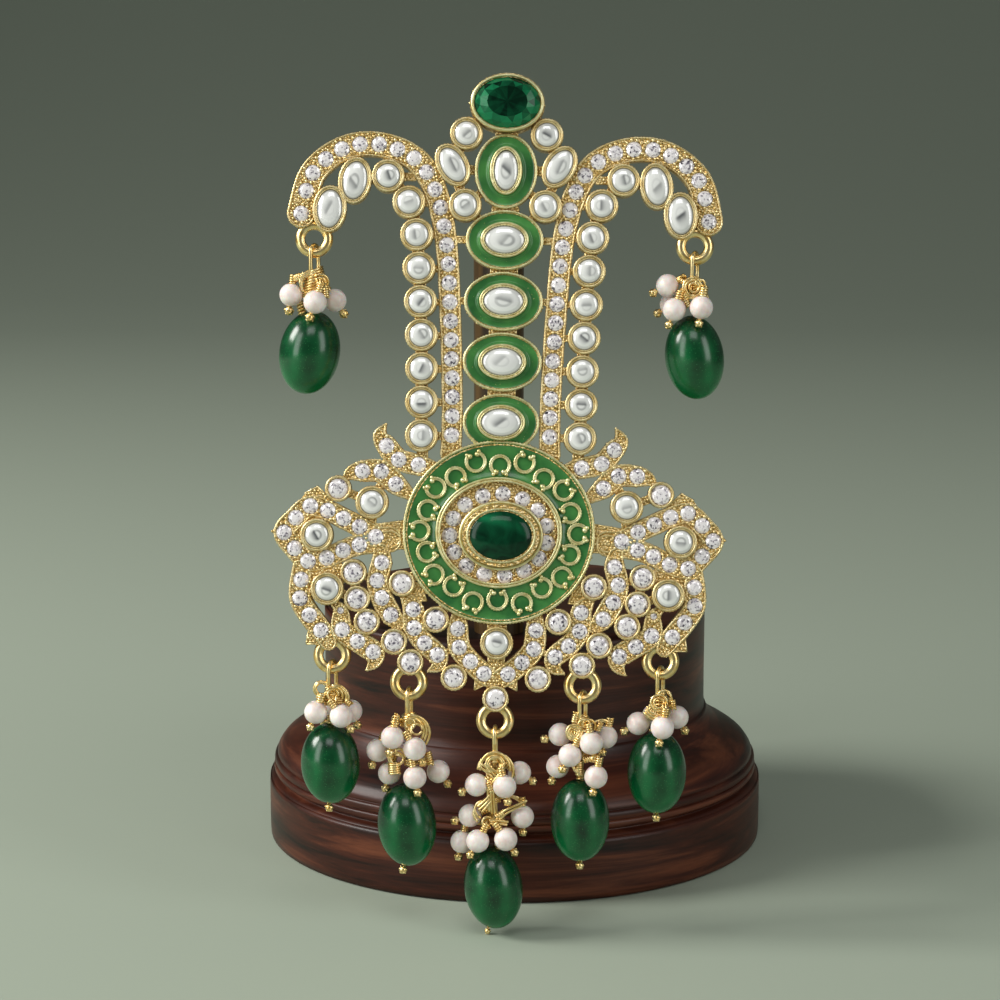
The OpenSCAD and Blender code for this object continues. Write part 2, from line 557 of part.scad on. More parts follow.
module stand_base() {
    color("saddlebrown") difference() {
        rotate_extrude($fn = fine) polygon(concat([[0, 0]], foot_side, [[0, column_z]]));
        translate([post_place[0], post_place[1], column_z - dowel_depth])
            cylinder(r = post_r + 0.1, h = dowel_depth + 1, $fn = fine);
    }
}
pin_start = in_space(0, boss_v, 0.5);
post_bore = turban_r + pin_gap;
module stand_post() {
    color("sienna") translate([post_place[0], post_place[1], column_z - dowel_depth + 0.1])
        difference() {
            rotate_extrude($fn = fine) polygon([[0, 0], [post_r, 0],
                [post_r, post_z - column_z + dowel_depth - 0.9],
                [post_r - 0.8, post_z - column_z + dowel_depth - 0.1],
                [0, post_z - column_z + dowel_depth - 0.1]]);
            translate([pin_start[0] - post_place[0], 0, post_z - column_z + dowel_depth - 12])
                cylinder(r = post_bore, h = 14, $fn = fine);
        }
}

// Plain bent pin: square back from the plate, then down into the post
module turban_pin() {
    back = (post_place[1] - pin_start[1]) / cos(plate_lean);
    corner = pin_start + back * [0, cos(plate_lean), -sin(plate_lean)];
    low = post_z - 10;
    color("goldenrod") {
        rod(pin_start, corner, turban_r);
        translate(corner) sphere(r = turban_r + 0.15, $fn = round_n);
        translate([corner[0], corner[1], low]) cylinder(r = turban_r, h = corner[2] - low, $fn = fine);
    }
}

stand_base();
stand_post();
turban_pin();
casting();
enamel_rosette();
enamel_ovals();
crest_stone();
rosette_stone();
column_stones();  // foil_stones_column
union() {  // foil_stones_crown
    foil(concat(crown_rounds, mirrored(crown_rounds)));
    foil_oval(concat([foil_ovals[0]], lean_mirrored([foil_ovals[0]])));
}
union() {  // foil_stones_left_arm
    foil(mirrored(foil_places));
    foil_oval(lean_mirrored([foil_ovals[1], foil_ovals[2]]));
}
union() {  // foil_stones_right_arm
    foil(foil_places);
    foil_oval([foil_ovals[1], foil_ovals[2]]);
}
foil(concat(wing_rounds, mirrored(wing_rounds), [tail_round]));  // foil_stones_wings
pave(mirrored(arm_places));  // pave_left_arm
pave(arm_places);  // pave_right_arm
pave(ring_places);  // pave_rosette
union() {  // pave_left_wing
    pave(mirrored(wing_places));
    large_pave(concat(mirrored(large_places), [tail_large]));
}
union() {  // pave_right_wing
    pave(wing_places);
    large_pave(large_places);
}
for (i = [0 : len(eyes) - 1]) {
    name = eyes[i][EYE_NAME];
    link(i);
    wire(i);
    pearl_set(i);
    bead(i);
}
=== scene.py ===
"""Looks of the turban ornament on its stand: gold, enamel, stones, pearls, beads and turned wood."""

import json
import math

import bpy
import numpy as np
from bpy.props import FloatProperty, FloatVectorProperty, PointerProperty, StringProperty
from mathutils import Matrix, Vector


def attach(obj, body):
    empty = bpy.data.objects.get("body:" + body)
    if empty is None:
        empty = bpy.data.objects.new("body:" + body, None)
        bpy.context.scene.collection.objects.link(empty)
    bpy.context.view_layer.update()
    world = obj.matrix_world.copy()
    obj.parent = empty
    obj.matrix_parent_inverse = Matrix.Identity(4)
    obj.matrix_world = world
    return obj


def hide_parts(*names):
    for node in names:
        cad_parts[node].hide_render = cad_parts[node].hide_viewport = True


bl_info = {
    "name": "Turban ornament",
    "version": (1, 0, 0),
    "blender": (4, 5, 0),
    "location": "3D View > Sidebar > Ornament",
    "description": "Dresses the turban ornament and its stand, one piece at a time",
    "category": "Object",
}

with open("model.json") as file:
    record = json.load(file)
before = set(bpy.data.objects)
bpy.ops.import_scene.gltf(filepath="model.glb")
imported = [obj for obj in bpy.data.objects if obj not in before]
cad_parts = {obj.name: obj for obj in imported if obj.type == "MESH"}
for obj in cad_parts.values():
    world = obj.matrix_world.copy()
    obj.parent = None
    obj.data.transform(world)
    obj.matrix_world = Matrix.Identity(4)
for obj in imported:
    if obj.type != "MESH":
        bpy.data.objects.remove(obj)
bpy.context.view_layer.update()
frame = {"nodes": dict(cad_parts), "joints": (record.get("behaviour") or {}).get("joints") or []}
NODES = frame["nodes"]
ROOT = "ornament_on_stand"
DROPS = ("top_left", "top_right", "1", "2", "3", "4", "5")

MM = 0.001
LEAN = math.radians(10)
ROLL = math.radians(1.15)
OUT = np.array([0, -math.cos(LEAN), math.sin(LEAN)])
ROSETTE_AT = np.array([-3.0, -55.57, 68.06])
PLATE_T = 1.9


# Places on the jewelled plate: u to the right, v up and w towards the viewer, all in mm
def turn_flat(x, y, turn):
    """x and y turned by an angle."""
    c, s = math.cos(turn), math.sin(turn)
    return x * c - y * s, x * s + y * c


def to_space(u, v, w):
    """Plate places to metres: turned by the plate's roll and lean, and moved to the rosette's middle."""
    u, v, w = np.broadcast_arrays(*(np.asarray(a, float) for a in (u, v, w)))
    across, up = turn_flat(u, v, -ROLL)
    place = [
        ROSETTE_AT[0] + across,
        ROSETTE_AT[1] + up * math.sin(LEAN) - w * math.cos(LEAN),
        ROSETTE_AT[2] + up * math.cos(LEAN) + w * math.sin(LEAN),
    ]
    return MM * np.stack(place, -1)


def on_plate(u0, v0, turn, x, y, w):
    """Space places of x and y, turned and then moved to u0 and v0, at the height w over the plate's back."""
    u, v = turn_flat(x, y, turn)
    return to_space(u0 + u, v0 + v, w)


def to_plate(points):
    """The reverse of to_space: metres in space to u, v and w in mm."""
    x, y, z = (np.asarray(points) / MM - ROSETTE_AT).T
    up = y * math.sin(LEAN) + z * math.cos(LEAN)
    w = z * math.sin(LEAN) - y * math.cos(LEAN)
    return np.stack([*turn_flat(x, up, ROLL), w], -1)


# Reading the fixed solids
def merged(node):
    """Corner places of a node with doubles merged, and its triangles as rows of three corners."""
    mesh = NODES[node].data
    co = np.empty(len(mesh.vertices) * 3)
    mesh.vertices.foreach_get("co", co)
    corners = np.empty(len(mesh.loops), int)
    mesh.loops.foreach_get("vertex_index", corners)
    co = co.reshape(-1, 3)
    whole = np.round(co * 1e6).astype(int)
    _, first, back = np.unique(whole, axis=0, return_index=True, return_inverse=True)
    return co[first], back.ravel()[corners].reshape(-1, 3)


def loose_solids(node):
    """Each loose solid of a node, as its corners on the plate. The lowest label spreads over each solid."""
    co, tri = merged(node)
    label = np.arange(len(co))
    while True:
        low = label[tri].min(1)
        spread = label.copy()
        np.minimum.at(spread, tri.ravel(), np.repeat(low, 3))
        spread = spread[spread]
        if (spread == label).all():
            break
        label = spread
    flat = to_plate(co)
    return [flat[label == k] for k in np.unique(label)]


def stone_places(*nodes):
    """Rows of u, v, girdle height, two half sizes and the turn of each cut stone, from its widest ring."""
    rows = []
    for node in nodes:
        for p in loose_solids(node):
            middle = (p[:, :2].max(0) + p[:, :2].min(0)) / 2
            away = p[:, :2] - middle
            reach = np.hypot(*away.T)
            girdle = np.median(p[reach > 0.97 * reach.max(), 2])
            _, axes = np.linalg.eigh(away.T @ away)
            long = axes[:, 1] * (1 if axes[1, 1] >= 0 else -1)
            short = np.array([long[1], -long[0]])
            halves = [np.abs(away @ short).max(), np.abs(away @ long).max()]
            turn = math.atan2(short[1], short[0])
            if halves[1] - halves[0] < 0.15 * halves[0]:
                turn, halves = 0.0, [reach.max()] * 2
            rows.append([*middle, girdle, *halves, turn])
    return np.array(rows)


# Making surfaces
def angles(count, turn=0.0):
    """Even angles round a circle, each turned by a share of a step."""
    return (np.arange(count) + turn) / count * 2 * math.pi


def circle(radius, z, count, turn=0.0):
    """Points at even angles on a level circle."""
    a = angles(count, turn)
    return np.stack([radius * np.cos(a), radius * np.sin(a), np.full(count, z)], -1)


def turned(side, around):
    """A profile turned round Z: each row of radius and height becomes a circle of points."""
    b = angles(around)
    r, z = side[:, :1], side[:, 1:]
    return np.stack([r * np.cos(b), r * np.sin(b), z * np.ones(around)], -1).reshape(-1, 3)


def grid(rows, columns, wrap_rows=False, wrap_columns=False):
    """Quads of a grid of points, row by row, joined round where asked."""
    r = np.arange(rows if wrap_rows else rows - 1)[:, None]
    c = np.arange(columns if wrap_columns else columns - 1)[None]
    r2, c2 = (r + 1) % rows, (c + 1) % columns
    quads = [r * columns + c, r * columns + c2, r2 * columns + c2, r2 * columns + c]
    return np.stack([np.broadcast_to(q, (r.size, c.size)) for q in quads], -1).reshape(-1, 4)


def capped(rows, around):
    """Faces over rows of circles. The last point but one closes the first circle, the last point the last."""
    n = rows * around
    pairs = [(i, (i + 1) % around) for i in range(around)]
    faces = grid(rows, around, False, True).tolist()
    faces += [(n, j, i) for i, j in pairs]
    return faces + [(n + 1, n - around + i, n - around + j) for i, j in pairs]


class Shell:
    """Points and faces of one piece, gathered from several surfaces."""

    def __init__(self):
        self.points, self.faces, self.count = [], [], 0

    def add(self, points, faces):
        """Adds a surface, whose faces count its own points from nought."""
        if isinstance(faces, np.ndarray):
            self.faces += (faces + self.count).tolist()
        else:
            self.faces += [[i + self.count for i in face] for face in faces]
        self.points.append(np.asarray(points, float).reshape(-1, 3))
        self.count += len(self.points[-1])
        return self

    def copies(self, points, faces):
        """Adds copies of one small shape: points has a row of placed corners for each copy."""
        n, m = points.shape[:2]
        step = (np.arange(n) * m)[:, None, None]
        return self.add(points, (faces[None] + step).reshape(n * len(faces), -1))

    def finish(self, name, finish, body, slot, replaces=(), faceted=False, **layers):
        """Makes the piece. A layer has a value for each point, or for each face of a faceted piece."""
        mesh = bpy.data.meshes.new(name)
        mesh.from_pydata(np.concatenate(self.points).tolist(), [], self.faces)
        mesh.materials.append(finish)
        mesh.polygons.foreach_set("use_smooth", [not faceted] * len(self.faces))
        for key, values in layers.items():
            layer = mesh.attributes.new(key, "FLOAT", "FACE" if faceted else "POINT")
            layer.data.foreach_set("value", values)
        mesh.update()
        piece = bpy.data.objects.new(name, mesh)
        bpy.context.scene.collection.objects.link(piece)
        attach(piece, body)
        if replaces:
            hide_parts(*replaces)


def unit(v):
    """The same directions with a length of one."""
    return v / np.linalg.norm(v, axis=-1, keepdims=True)


def smooth_path(points, steps=6):
    """Catmull-Rom curve through given points: each stretch blends the four points around it."""
    p = np.asarray(points, float)
    p = np.concatenate([p[:1], p, p[-1:]])
    t = np.arange(steps)[:, None] / steps
    a, b, c, d = (p[i : len(p) - 3 + i, None] for i in range(4))
    q = 0.5 * (2 * b + (c - a) * t + (2 * a - 5 * b + 4 * c - d) * t**2 + (3 * b - a - 3 * c + d) * t**3)
    return np.concatenate([q.reshape(-1, p.shape[1]), p[-2:-1]])


def even_path(path, step, closed_count=None):
    """The same path with its points an even step apart, or a closed path with a count of points."""
    run = np.concatenate([[0], np.cumsum(np.linalg.norm(np.diff(path, axis=0), axis=1))])
    if closed_count:
        at = np.linspace(0, run[-1], closed_count, endpoint=False)
    else:
        at = np.linspace(0, run[-1], max(2, int(round(run[-1] / step)) + 1))
    return np.stack([np.interp(at, run, column) for column in path.T], -1)


def kept_runs(path, keep):
    """Splits a path into the stretches of at least four kept points."""
    cuts = np.flatnonzero(np.diff(keep.astype(int))) + 1
    return [part for part, k in zip(np.split(path, cuts), np.split(keep, cuts)) if k[0] and len(part) > 3]


def tube(shell, path, radius, sides=6, closed=False, aside=(0.31, 0.9, 0.29)):
    """A circle, its radius in mm, carried along a path in metres, with a point beyond each open end."""
    radius = np.broadcast_to(radius * MM, len(path))
    ahead = unit(np.roll(path, -1, 0) - np.roll(path, 1, 0) if closed else np.gradient(path, axis=0))
    right = unit(np.cross(ahead, aside))
    over = np.cross(right, ahead)
    a = angles(sides)[None, :, None]
    ring = np.cos(a) * right[:, None] + np.sin(a) * over[:, None]
    points = path[:, None] + ring * radius[:, None, None]
    if closed:
        shell.add(points, grid(len(path), sides, True, True))
    else:
        ends = [path[0] - ahead[0] * radius[0] * 0.4, path[-1] + ahead[-1] * radius[-1] * 0.4]
        shell.add(np.concatenate([points.reshape(-1, 3), ends]), capped(len(path), sides))


def ball(around, rings):
    """Triangles of a unit ball: circles at even angles from pole to pole, and a point at each pole."""
    a = np.arange(1, rings) / rings * math.pi
    circles = turned(np.stack([np.sin(a), np.cos(a)], -1), around)
    n = len(circles)
    k = np.arange(around)
    k2 = (k + 1) % around
    quads = grid(rings - 1, around, False, True)[:, ::-1]
    top = np.stack([np.full(around, n), k, k2], -1)
    bottom = np.stack([np.full(around, n + 1), n - around + k2, n - around + k], -1)
    points = np.concatenate([circles, [[0, 0, 1], [0, 0, -1]]])
    return points, np.concatenate([top, bottom, quads[:, [0, 1, 2]], quads[:, [0, 2, 3]]])


def grains(shell, places, radius, around=6, rings=3):
    """Small gold balls at places in metres, with a radius in mm for each."""
    points, faces = ball(around, rings)
    shell.copies(points[None] * (radius * MM)[:, None, None] + places[:, None], faces)


def ellipse(half_u, half_v, count):
    """Points on an ellipse at even steps of its own length."""
    fine = np.linspace(0, 2 * math.pi, 721)
    p = np.stack([half_u * np.cos(fine), half_v * np.sin(fine)], -1)
    return even_path(p, None, count)


def milgrain(radius, count):
    """Radii of a beaded wire: fuller and thinner by turns."""
    return radius * (1 + 0.3 * (-1.0) ** np.arange(count))


def plate_ring(shell, middle, halves, w, radius, count=72, sides=8, beaded=False, turn=0.0):
    """A round wire, plain or beaded, that follows an ellipse on the plate, its middle at the height w."""
    path = on_plate(*middle, turn, *ellipse(*halves, count).T, w)
    tube(shell, path, milgrain(radius, count) if beaded else radius, sides, True, OUT)


# Materials
def linear(hex_colour):
    """An sRGB hex colour as linear red, green, blue and full alpha."""
    channels = [int(hex_colour[i : i + 2], 16) / 255 for i in (1, 3, 5)]
    return [c / 12.92 if c <= 0.04045 else ((c + 0.055) / 1.055) ** 2.4 for c in channels] + [1.0]


def feed(made, inputs):
    """Gives each named input of a node its value, or a link where the value is another node's socket."""
    for key, value in inputs.items():
        if isinstance(value, bpy.types.NodeSocket):
            made.id_data.links.new(value, made.inputs[key])
        else:
            made.inputs[key].default_value = value


def add_node(tree, kind, inputs, stops=(), **settings):
    """Adds a node and gives back its outputs. Stops are the places and colours of a colour ramp, in order."""
    made = tree.nodes.new(kind)
    for key, value in settings.items():
        setattr(made, key, value)
    feed(made, inputs)
    if stops:
        ends = made.color_ramp.elements
        for i in (0, -1):
            ends[i].position, ends[i].color = stops[i][0], linear(stops[i][1])
        for position, colour in stops[1:-1]:
            ends.new(position).color = linear(colour)
    return made.outputs


def new_material(name):
    """A material, its node tree, its shader and the object coordinates that its patterns follow."""
    finish = bpy.data.materials.new(name)
    finish.use_nodes = True
    tree = finish.node_tree
    tree.nodes.clear()
    shader = tree.nodes.new("ShaderNodeBsdfPrincipled")
    add_node(tree, "ShaderNodeOutputMaterial", {"Surface": shader.outputs["BSDF"]})
    return finish, tree, shader, add_node(tree, "ShaderNodeTexCoord", {})["Object"]


def cast_gold():
    """Gold-plated casting, stippled with a punch: pebbles painted bright on top, with painted shade as deep
    brown-gold lines between them.
    """
    finish, tree, shader, place = new_material("Cast_gold_stippled")
    props = bpy.context.scene.ornament_gold
    size = {"Vector": place, "Scale": 1 / (props.pebble_mm * MM)}
    pebble = add_node(tree, "ShaderNodeTexVoronoi", size)["Distance"]
    cloud = add_node(tree, "ShaderNodeTexNoise", {"Vector": place, "Scale": 420.0, "Detail": 4.0})["Fac"]
    # Painted shade: the gold turns deep towards the edge of each pebble, where the hollows lie, with a random
    # cloud of tone mixed in
    cloud_and_pebble_shade = add_node(tree, "ShaderNodeMath", {0: cloud, 1: 0.35, 2: pebble}, operation="MULTIPLY_ADD")["Value"]
    stops = ((0.3, props.bright), (0.75, props.deep))
    tone = add_node(tree, "ShaderNodeValToRGB", {"Fac": cloud_and_pebble_shade}, stops)["Color"]
    relief = {"Height": pebble, "Strength": 0.9, "Distance": 0.00025}
    bump = add_node(tree, "ShaderNodeBump", relief, invert=True)["Normal"]
    feed(shader, {"Base Color": tone, "Normal": bump, "Metallic": 1.0, "Roughness": 0.38})
    return finish


def polished_gold(name, bright, deep, roughness):
    """The same plating, burnished: clear highlights, a little uneven from handling."""
    finish, tree, shader, place = new_material(name)
    cloud = add_node(tree, "ShaderNodeTexNoise", {"Vector": place, "Scale": 900.0, "Detail": 3.0})["Fac"]
    tone = add_node(tree, "ShaderNodeValToRGB", {"Fac": cloud}, ((0.3, deep), (0.62, bright)))["Color"]
    relief = {"Height": cloud, "Strength": 0.35, "Distance": 0.00008}
    bump = add_node(tree, "ShaderNodeBump", relief)["Normal"]
    feed(shader, {"Base Color": tone, "Normal": bump, "Metallic": 1.0, "Roughness": roughness})
    return finish


# Name and roughness of each burnished gold, by its use
POLISHES = {
    "grain": ("Burnished_gold_grain", 0.38),
    "rim": ("Lemon_gold_rim", 0.4),
    "wire": ("Drawn_gold_wire", 0.3),
}


def gold(use):
    """The burnished gold of the grains, of the rims beside the enamel, or of the wires."""
    name, roughness = POLISHES[use]
    props = bpy.context.scene.ornament_gold
    bright, deep = getattr(props, use + "_bright"), getattr(props, use + "_deep")
    return finish_of(polished_gold, name, bright, deep, roughness)


def cut_crystal():
    """Foil-backed lead crystal, brilliant cut: each facet carries a painted reflection, light or dark, in
    place of the light the foil throws back.
    """
    finish, tree, shader, place = new_material("Foiled_cut_crystal")
    tint = add_node(tree, "ShaderNodeAttribute", {}, attribute_name="tint")["Fac"]
    # Painted glints in cells 0.36 mm wide break up the facets
    painted_glint = add_node(tree, "ShaderNodeTexVoronoi", {"Vector": place, "Scale": 1 / (0.36 * MM)})["Color"]
    cell = add_node(tree, "ShaderNodeSeparateColor", {"Color": painted_glint})["Red"]
    mixed = add_node(tree, "ShaderNodeMath", {0: tint, 1: 0.7, 2: cell}, operation="MULTIPLY_ADD")["Value"]
    stops = ((0.32, "#524e5a"), (0.55, "#aca4b0"), (1.0, "#fffafc"))
    tone = add_node(tree, "ShaderNodeValToRGB", {"Fac": mixed}, stops)["Color"]
    haze = add_node(tree, "ShaderNodeTexNoise", {"Vector": place, "Scale": 1500.0})["Fac"]
    relief = {"Height": haze, "Strength": 0.15, "Distance": 0.00005}
    bump = add_node(tree, "ShaderNodeBump", relief)["Normal"]
    feed(shader, {"Base Color": tone, "Normal": bump, "Metallic": 0.12, "Roughness": 0.1, "IOR": 1.6})
    return finish


def foiled_glass():
    """Clear domed glass over hand-pressed silver foil: white, with painted reflections as soft grey patches
    and painted shade as a dim ring at the edge.
    """
    finish, tree, shader, _ = new_material("Foiled_domed_glass")
    foil_reflection = add_node(tree, "ShaderNodeAttribute", {}, attribute_name="foil_reflection")["Fac"]
    stops = ((0.08, "#fafaf8"), (0.8, "#55585c"))
    tone = add_node(tree, "ShaderNodeValToRGB", {"Fac": foil_reflection}, stops)["Color"]
    # Painted shade: a dim brownish ring near the edge stands for the collar's shadow and the gold mirrored in
    # the foil
    edge = add_node(tree, "ShaderNodeAttribute", {}, attribute_name="edge")["Fac"]
    stops = ((0.84, "#ffffff"), (0.97, "#77705f"))
    ring = add_node(tree, "ShaderNodeValToRGB", {"Fac": edge}, stops)["Color"]
    both = {0: 1.0, 6: tone, 7: ring}
    mixed = add_node(tree, "ShaderNodeMix", both, data_type="RGBA", blend_type="MULTIPLY")[2]
    feed(shader, {"Base Color": mixed, "Metallic": 0.12, "Roughness": 0.12})
    feed(shader, {"Coat Weight": 0.6, "Coat Roughness": 0.03})
    return finish


def green_enamel():
    """Fired glass enamel, poured and ground level: glossy mid green, darker where it pools deep."""
    finish, tree, shader, place = new_material("Fired_green_enamel")
    props = bpy.context.scene.ornament_stones
    cloud = add_node(tree, "ShaderNodeTexNoise", {"Vector": place, "Scale": 230.0, "Detail": 5.0})["Fac"]
    stops = ((0.32, props.enamel_deep), (0.68, props.enamel))
    tone = add_node(tree, "ShaderNodeValToRGB", {"Fac": cloud}, stops)["Color"]
    relief = {"Height": cloud, "Strength": 0.2, "Distance": 0.0003}
    bump = add_node(tree, "ShaderNodeBump", relief)["Normal"]
    feed(shader, {"Base Color": tone, "Normal": bump, "Roughness": 0.3, "IOR": 1.5})
    feed(shader, {"Coat Weight": 0.25, "Coat Roughness": 0.1})
    return finish


def green_crystal():
    """Dark green cut glass over foil, with painted reflections: nearly black at its table, lighter on the
    facets round it.
    """
    finish, tree, shader, place = new_material("Deep_green_cut_glass")
    props = bpy.context.scene.ornament_stones
    tint = add_node(tree, "ShaderNodeAttribute", {}, attribute_name="tint")["Fac"]
    swirl = {"Vector": place, "Scale": 330.0, "Detail": 4.0, "Distortion": 1.2}
    cloud = add_node(tree, "ShaderNodeTexNoise", swirl)["Fac"]
    # The painted reflection, with a random swirl of tone mixed in
    mixed = add_node(tree, "ShaderNodeMath", {0: cloud, 1: 0.45, 2: tint}, operation="MULTIPLY_ADD")["Value"]
    stops = ((0.22, props.green_deep), (1.0, props.green_bright))
    tone = add_node(tree, "ShaderNodeValToRGB", {"Fac": mixed}, stops)["Color"]
    feed(shader, {"Base Color": tone, "Roughness": 0.13, "IOR": 1.3})
    return finish


def bead_glass():
    """Dyed green quartz, tumbled and waxed: deep green, with painted light as two soft upright highlight
    bands and a greener glow at its foot.
    """
    finish, tree, shader, place = new_material("Dyed_green_quartz")
    props = bpy.context.scene.ornament_drops
    # Painted light: highlight bands and a glow low in the bead, carried by an attribute
    glow = add_node(tree, "ShaderNodeAttribute", {}, attribute_name="glow")["Fac"]
    cloud = add_node(tree, "ShaderNodeTexNoise", {"Vector": place, "Scale": 380.0, "Detail": 5.0})["Fac"]
    mixed = add_node(tree, "ShaderNodeMath", {0: cloud, 1: 0.35, 2: glow}, operation="MULTIPLY_ADD")["Value"]
    stops = ((0.1, props.bead_deep), (1.0, props.bead_glow))
    tone = add_node(tree, "ShaderNodeValToRGB", {"Fac": mixed}, stops)["Color"]
    glint = add_node(tree, "ShaderNodeTexVoronoi", {"Vector": place, "Scale": 2600.0})["Distance"]
    spark = add_node(tree, "ShaderNodeMath", {0: glint, 1: 0.16}, operation="LESS_THAN")["Value"]
    both = {0: spark, 6: tone, 7: linear(props.bead_fleck)}
    flecked = add_node(tree, "ShaderNodeMix", both, data_type="RGBA")[2]
    feed(shader, {"Base Color": flecked, "Roughness": 0.21, "IOR": 1.52})
    return finish


def pearl_nacre():
    """Nacre of small round pearls: warm white with a pink cast and a soft wide gloss."""
    finish, tree, shader, place = new_material("Pearl_nacre")
    cloud = add_node(tree, "ShaderNodeTexNoise", {"Vector": place, "Scale": 520.0, "Detail": 4.0})["Fac"]
    stops = ((0.3, "#e2d0c8"), (0.62, "#fbf2ee"))
    tone = add_node(tree, "ShaderNodeValToRGB", {"Fac": cloud}, stops)["Color"]
    feed(shader, {"Base Color": tone, "Roughness": 0.4, "IOR": 1.6, "Coat Weight": 0.25})
    feed(shader, {"Coat Roughness": 0.2, "Subsurface Weight": 0.25, "Subsurface Scale": 0.001})
    return finish


def turned_wood(name, deep, mid, pale, coat, along):
    """Dense tropical hardwood, turned, stained and waxed. Its grain is scaled by along in X, Y and Z."""
    finish, tree, shader, place = new_material(name)
    long = add_node(tree, "ShaderNodeMapping", {"Vector": place, "Scale": along})["Vector"]
    fibre = {"Vector": long, "Scale": 1.0, "Detail": 8.0, "Roughness": 0.65, "Distortion": 0.6}
    grain = add_node(tree, "ShaderNodeTexNoise", fibre)["Fac"]
    pores = add_node(tree, "ShaderNodeTexNoise", {"Vector": long, "Scale": 7.0, "Detail": 3.0})["Fac"]
    stops = ((0.36, deep), (0.52, mid), (0.75, pale))
    tone = add_node(tree, "ShaderNodeValToRGB", {"Fac": grain}, stops)["Color"]
    relief = {"Height": pores, "Strength": 0.15, "Distance": 0.0002}
    bump = add_node(tree, "ShaderNodeBump", relief)["Normal"]
    feed(shader, {"Base Color": tone, "Normal": bump, "Roughness": 0.42, "IOR": 1.36})
    feed(shader, {"Coat Weight": coat, "Coat Roughness": 0.16})
    return finish


def floor_paint():
    """Matt painted board, pale grey green and plain."""
    finish, tree, shader, place = new_material("Matt_painted_board")
    speck = add_node(tree, "ShaderNodeTexNoise", {"Vector": place, "Scale": 900.0})["Fac"]
    limits = {"Value": speck, "To Min": 0.82, "To Max": 0.92}
    matt = add_node(tree, "ShaderNodeMapRange", limits)["Result"]
    feed(shader, {"Base Color": linear(bpy.context.scene.ornament_stage.floor), "Roughness": matt})
    return finish


FINISHES = {}


def finish_of(maker, *args):
    """Makes a material once and hands the same one out again."""
    key = (maker.__name__, *args)
    if key not in FINISHES:
        FINISHES[key] = maker(*args)
    return FINISHES[key]


def dress(node, finish):
    """Gives a fixed solid a material, in place of its plain one."""
    mesh = NODES[node].data
    mesh.materials.clear()
    mesh.materials.append(finish)


class OrnamentGold(bpy.types.PropertyGroup):
    """Sizes and colours of the casting and of the wires"""

    pebble_mm: FloatProperty(
        name="Pebble", description="Width of the casting's pebbled grain, in mm",
        default=0.42, min=0.2, max=1,
    )
    grain_r: FloatProperty(
        name="Grain radius", description="Radius of the raised grains round the stones, in mm",
        default=0.3, min=0.1, max=0.5,
    )
    ground_r: FloatProperty(
        name="Ground grain radius", description="Radius of the fine grains on the ground, in mm",
        default=0.26, min=0.1, max=0.5,
    )
    grain_pitch: FloatProperty(
        name="Grain pitch", description="Distance between the fine grains, in mm",
        default=0.62, min=0.4, max=2,
    )
    rim_step: FloatProperty(
        name="Rim step", description="Half the pitch of the beads on the rim lines, in mm",
        default=0.27, min=0.1, max=1,
    )
    rim_r: FloatProperty(
        name="Rim radius", description="Radius of the rim line along the ribbons, in mm",
        default=0.19, min=0.1, max=0.4,
    )
    # Bright is the painted light on the pebble tops, deep the painted shade in the hollows between them
    bright: StringProperty(name="Bright", description="Colour of raised stippled gold", default="#f0dcae")
    deep: StringProperty(name="Deep", description="Colour of gold in the hollows", default="#b69659")
    grain_bright: StringProperty(
        name="Grain bright", description="Colour of grains and rims", default="#fae8b4"
    )
    grain_deep: StringProperty(
        name="Grain deep", description="Darker colour of grains and rims", default="#e3c684"
    )
    rim_bright: StringProperty(
        name="Rim bright", description="Colour of rims and open rings beside the enamel",
        default="#f8f3c2",
    )
    rim_deep: StringProperty(
        name="Rim deep", description="Darker colour of rims and open rings", default="#e0d292"
    )
    wire_bright: StringProperty(
        name="Wire bright", description="Colour of wires and rings", default="#ffe9ae"
    )
    wire_deep: StringProperty(
        name="Wire deep", description="Darker colour of wires and rings", default="#ecc270"
    )


class OrnamentStones(bpy.types.PropertyGroup):
    """Colours of the enamel and of the large green stones"""

    enamel: StringProperty(name="Enamel", description="Colour of the enamel", default="#4f944a")
    enamel_deep: StringProperty(
        name="Deep enamel", description="Colour of the enamel where it is deep", default="#286632"
    )
    green_bright: StringProperty(
        name="Green bright", description="Lighter colour of the large green stones", default="#1b8052"
    )
    green_deep: StringProperty(
        name="Green deep", description="Darker colour of the large green stones", default="#032013"
    )


class OrnamentDrops(bpy.types.PropertyGroup):
    """Sizes and colours of the drops"""

    strand_r: FloatProperty(
        name="Strand radius", description="Radius of the wrapped wire, in mm",
        default=0.27, min=0.1, max=0.4,
    )
    bead_deep: StringProperty(name="Bead", description="Colour of a green bead", default="#021f10")
    # Colour of the painted light in a bead: its highlight bands and the glow at its foot
    bead_glow: StringProperty(
        name="Bead glow", description="Colour where light gathers in a bead", default="#0c9450"
    )
    bead_fleck: StringProperty(
        name="Bead fleck", description="Colour of the fine flecks in a bead", default="#2f7a45"
    )


class OrnamentStand(bpy.types.PropertyGroup):
    """Colours of the turned wood"""

    deep: StringProperty(name="Deep", description="Darkest colour of the turned wood", default="#160804")
    mid: StringProperty(name="Middle", description="Main colour of the turned wood", default="#411c10")
    pale: StringProperty(name="Pale", description="Lightest colour of the turned wood", default="#7c452c")


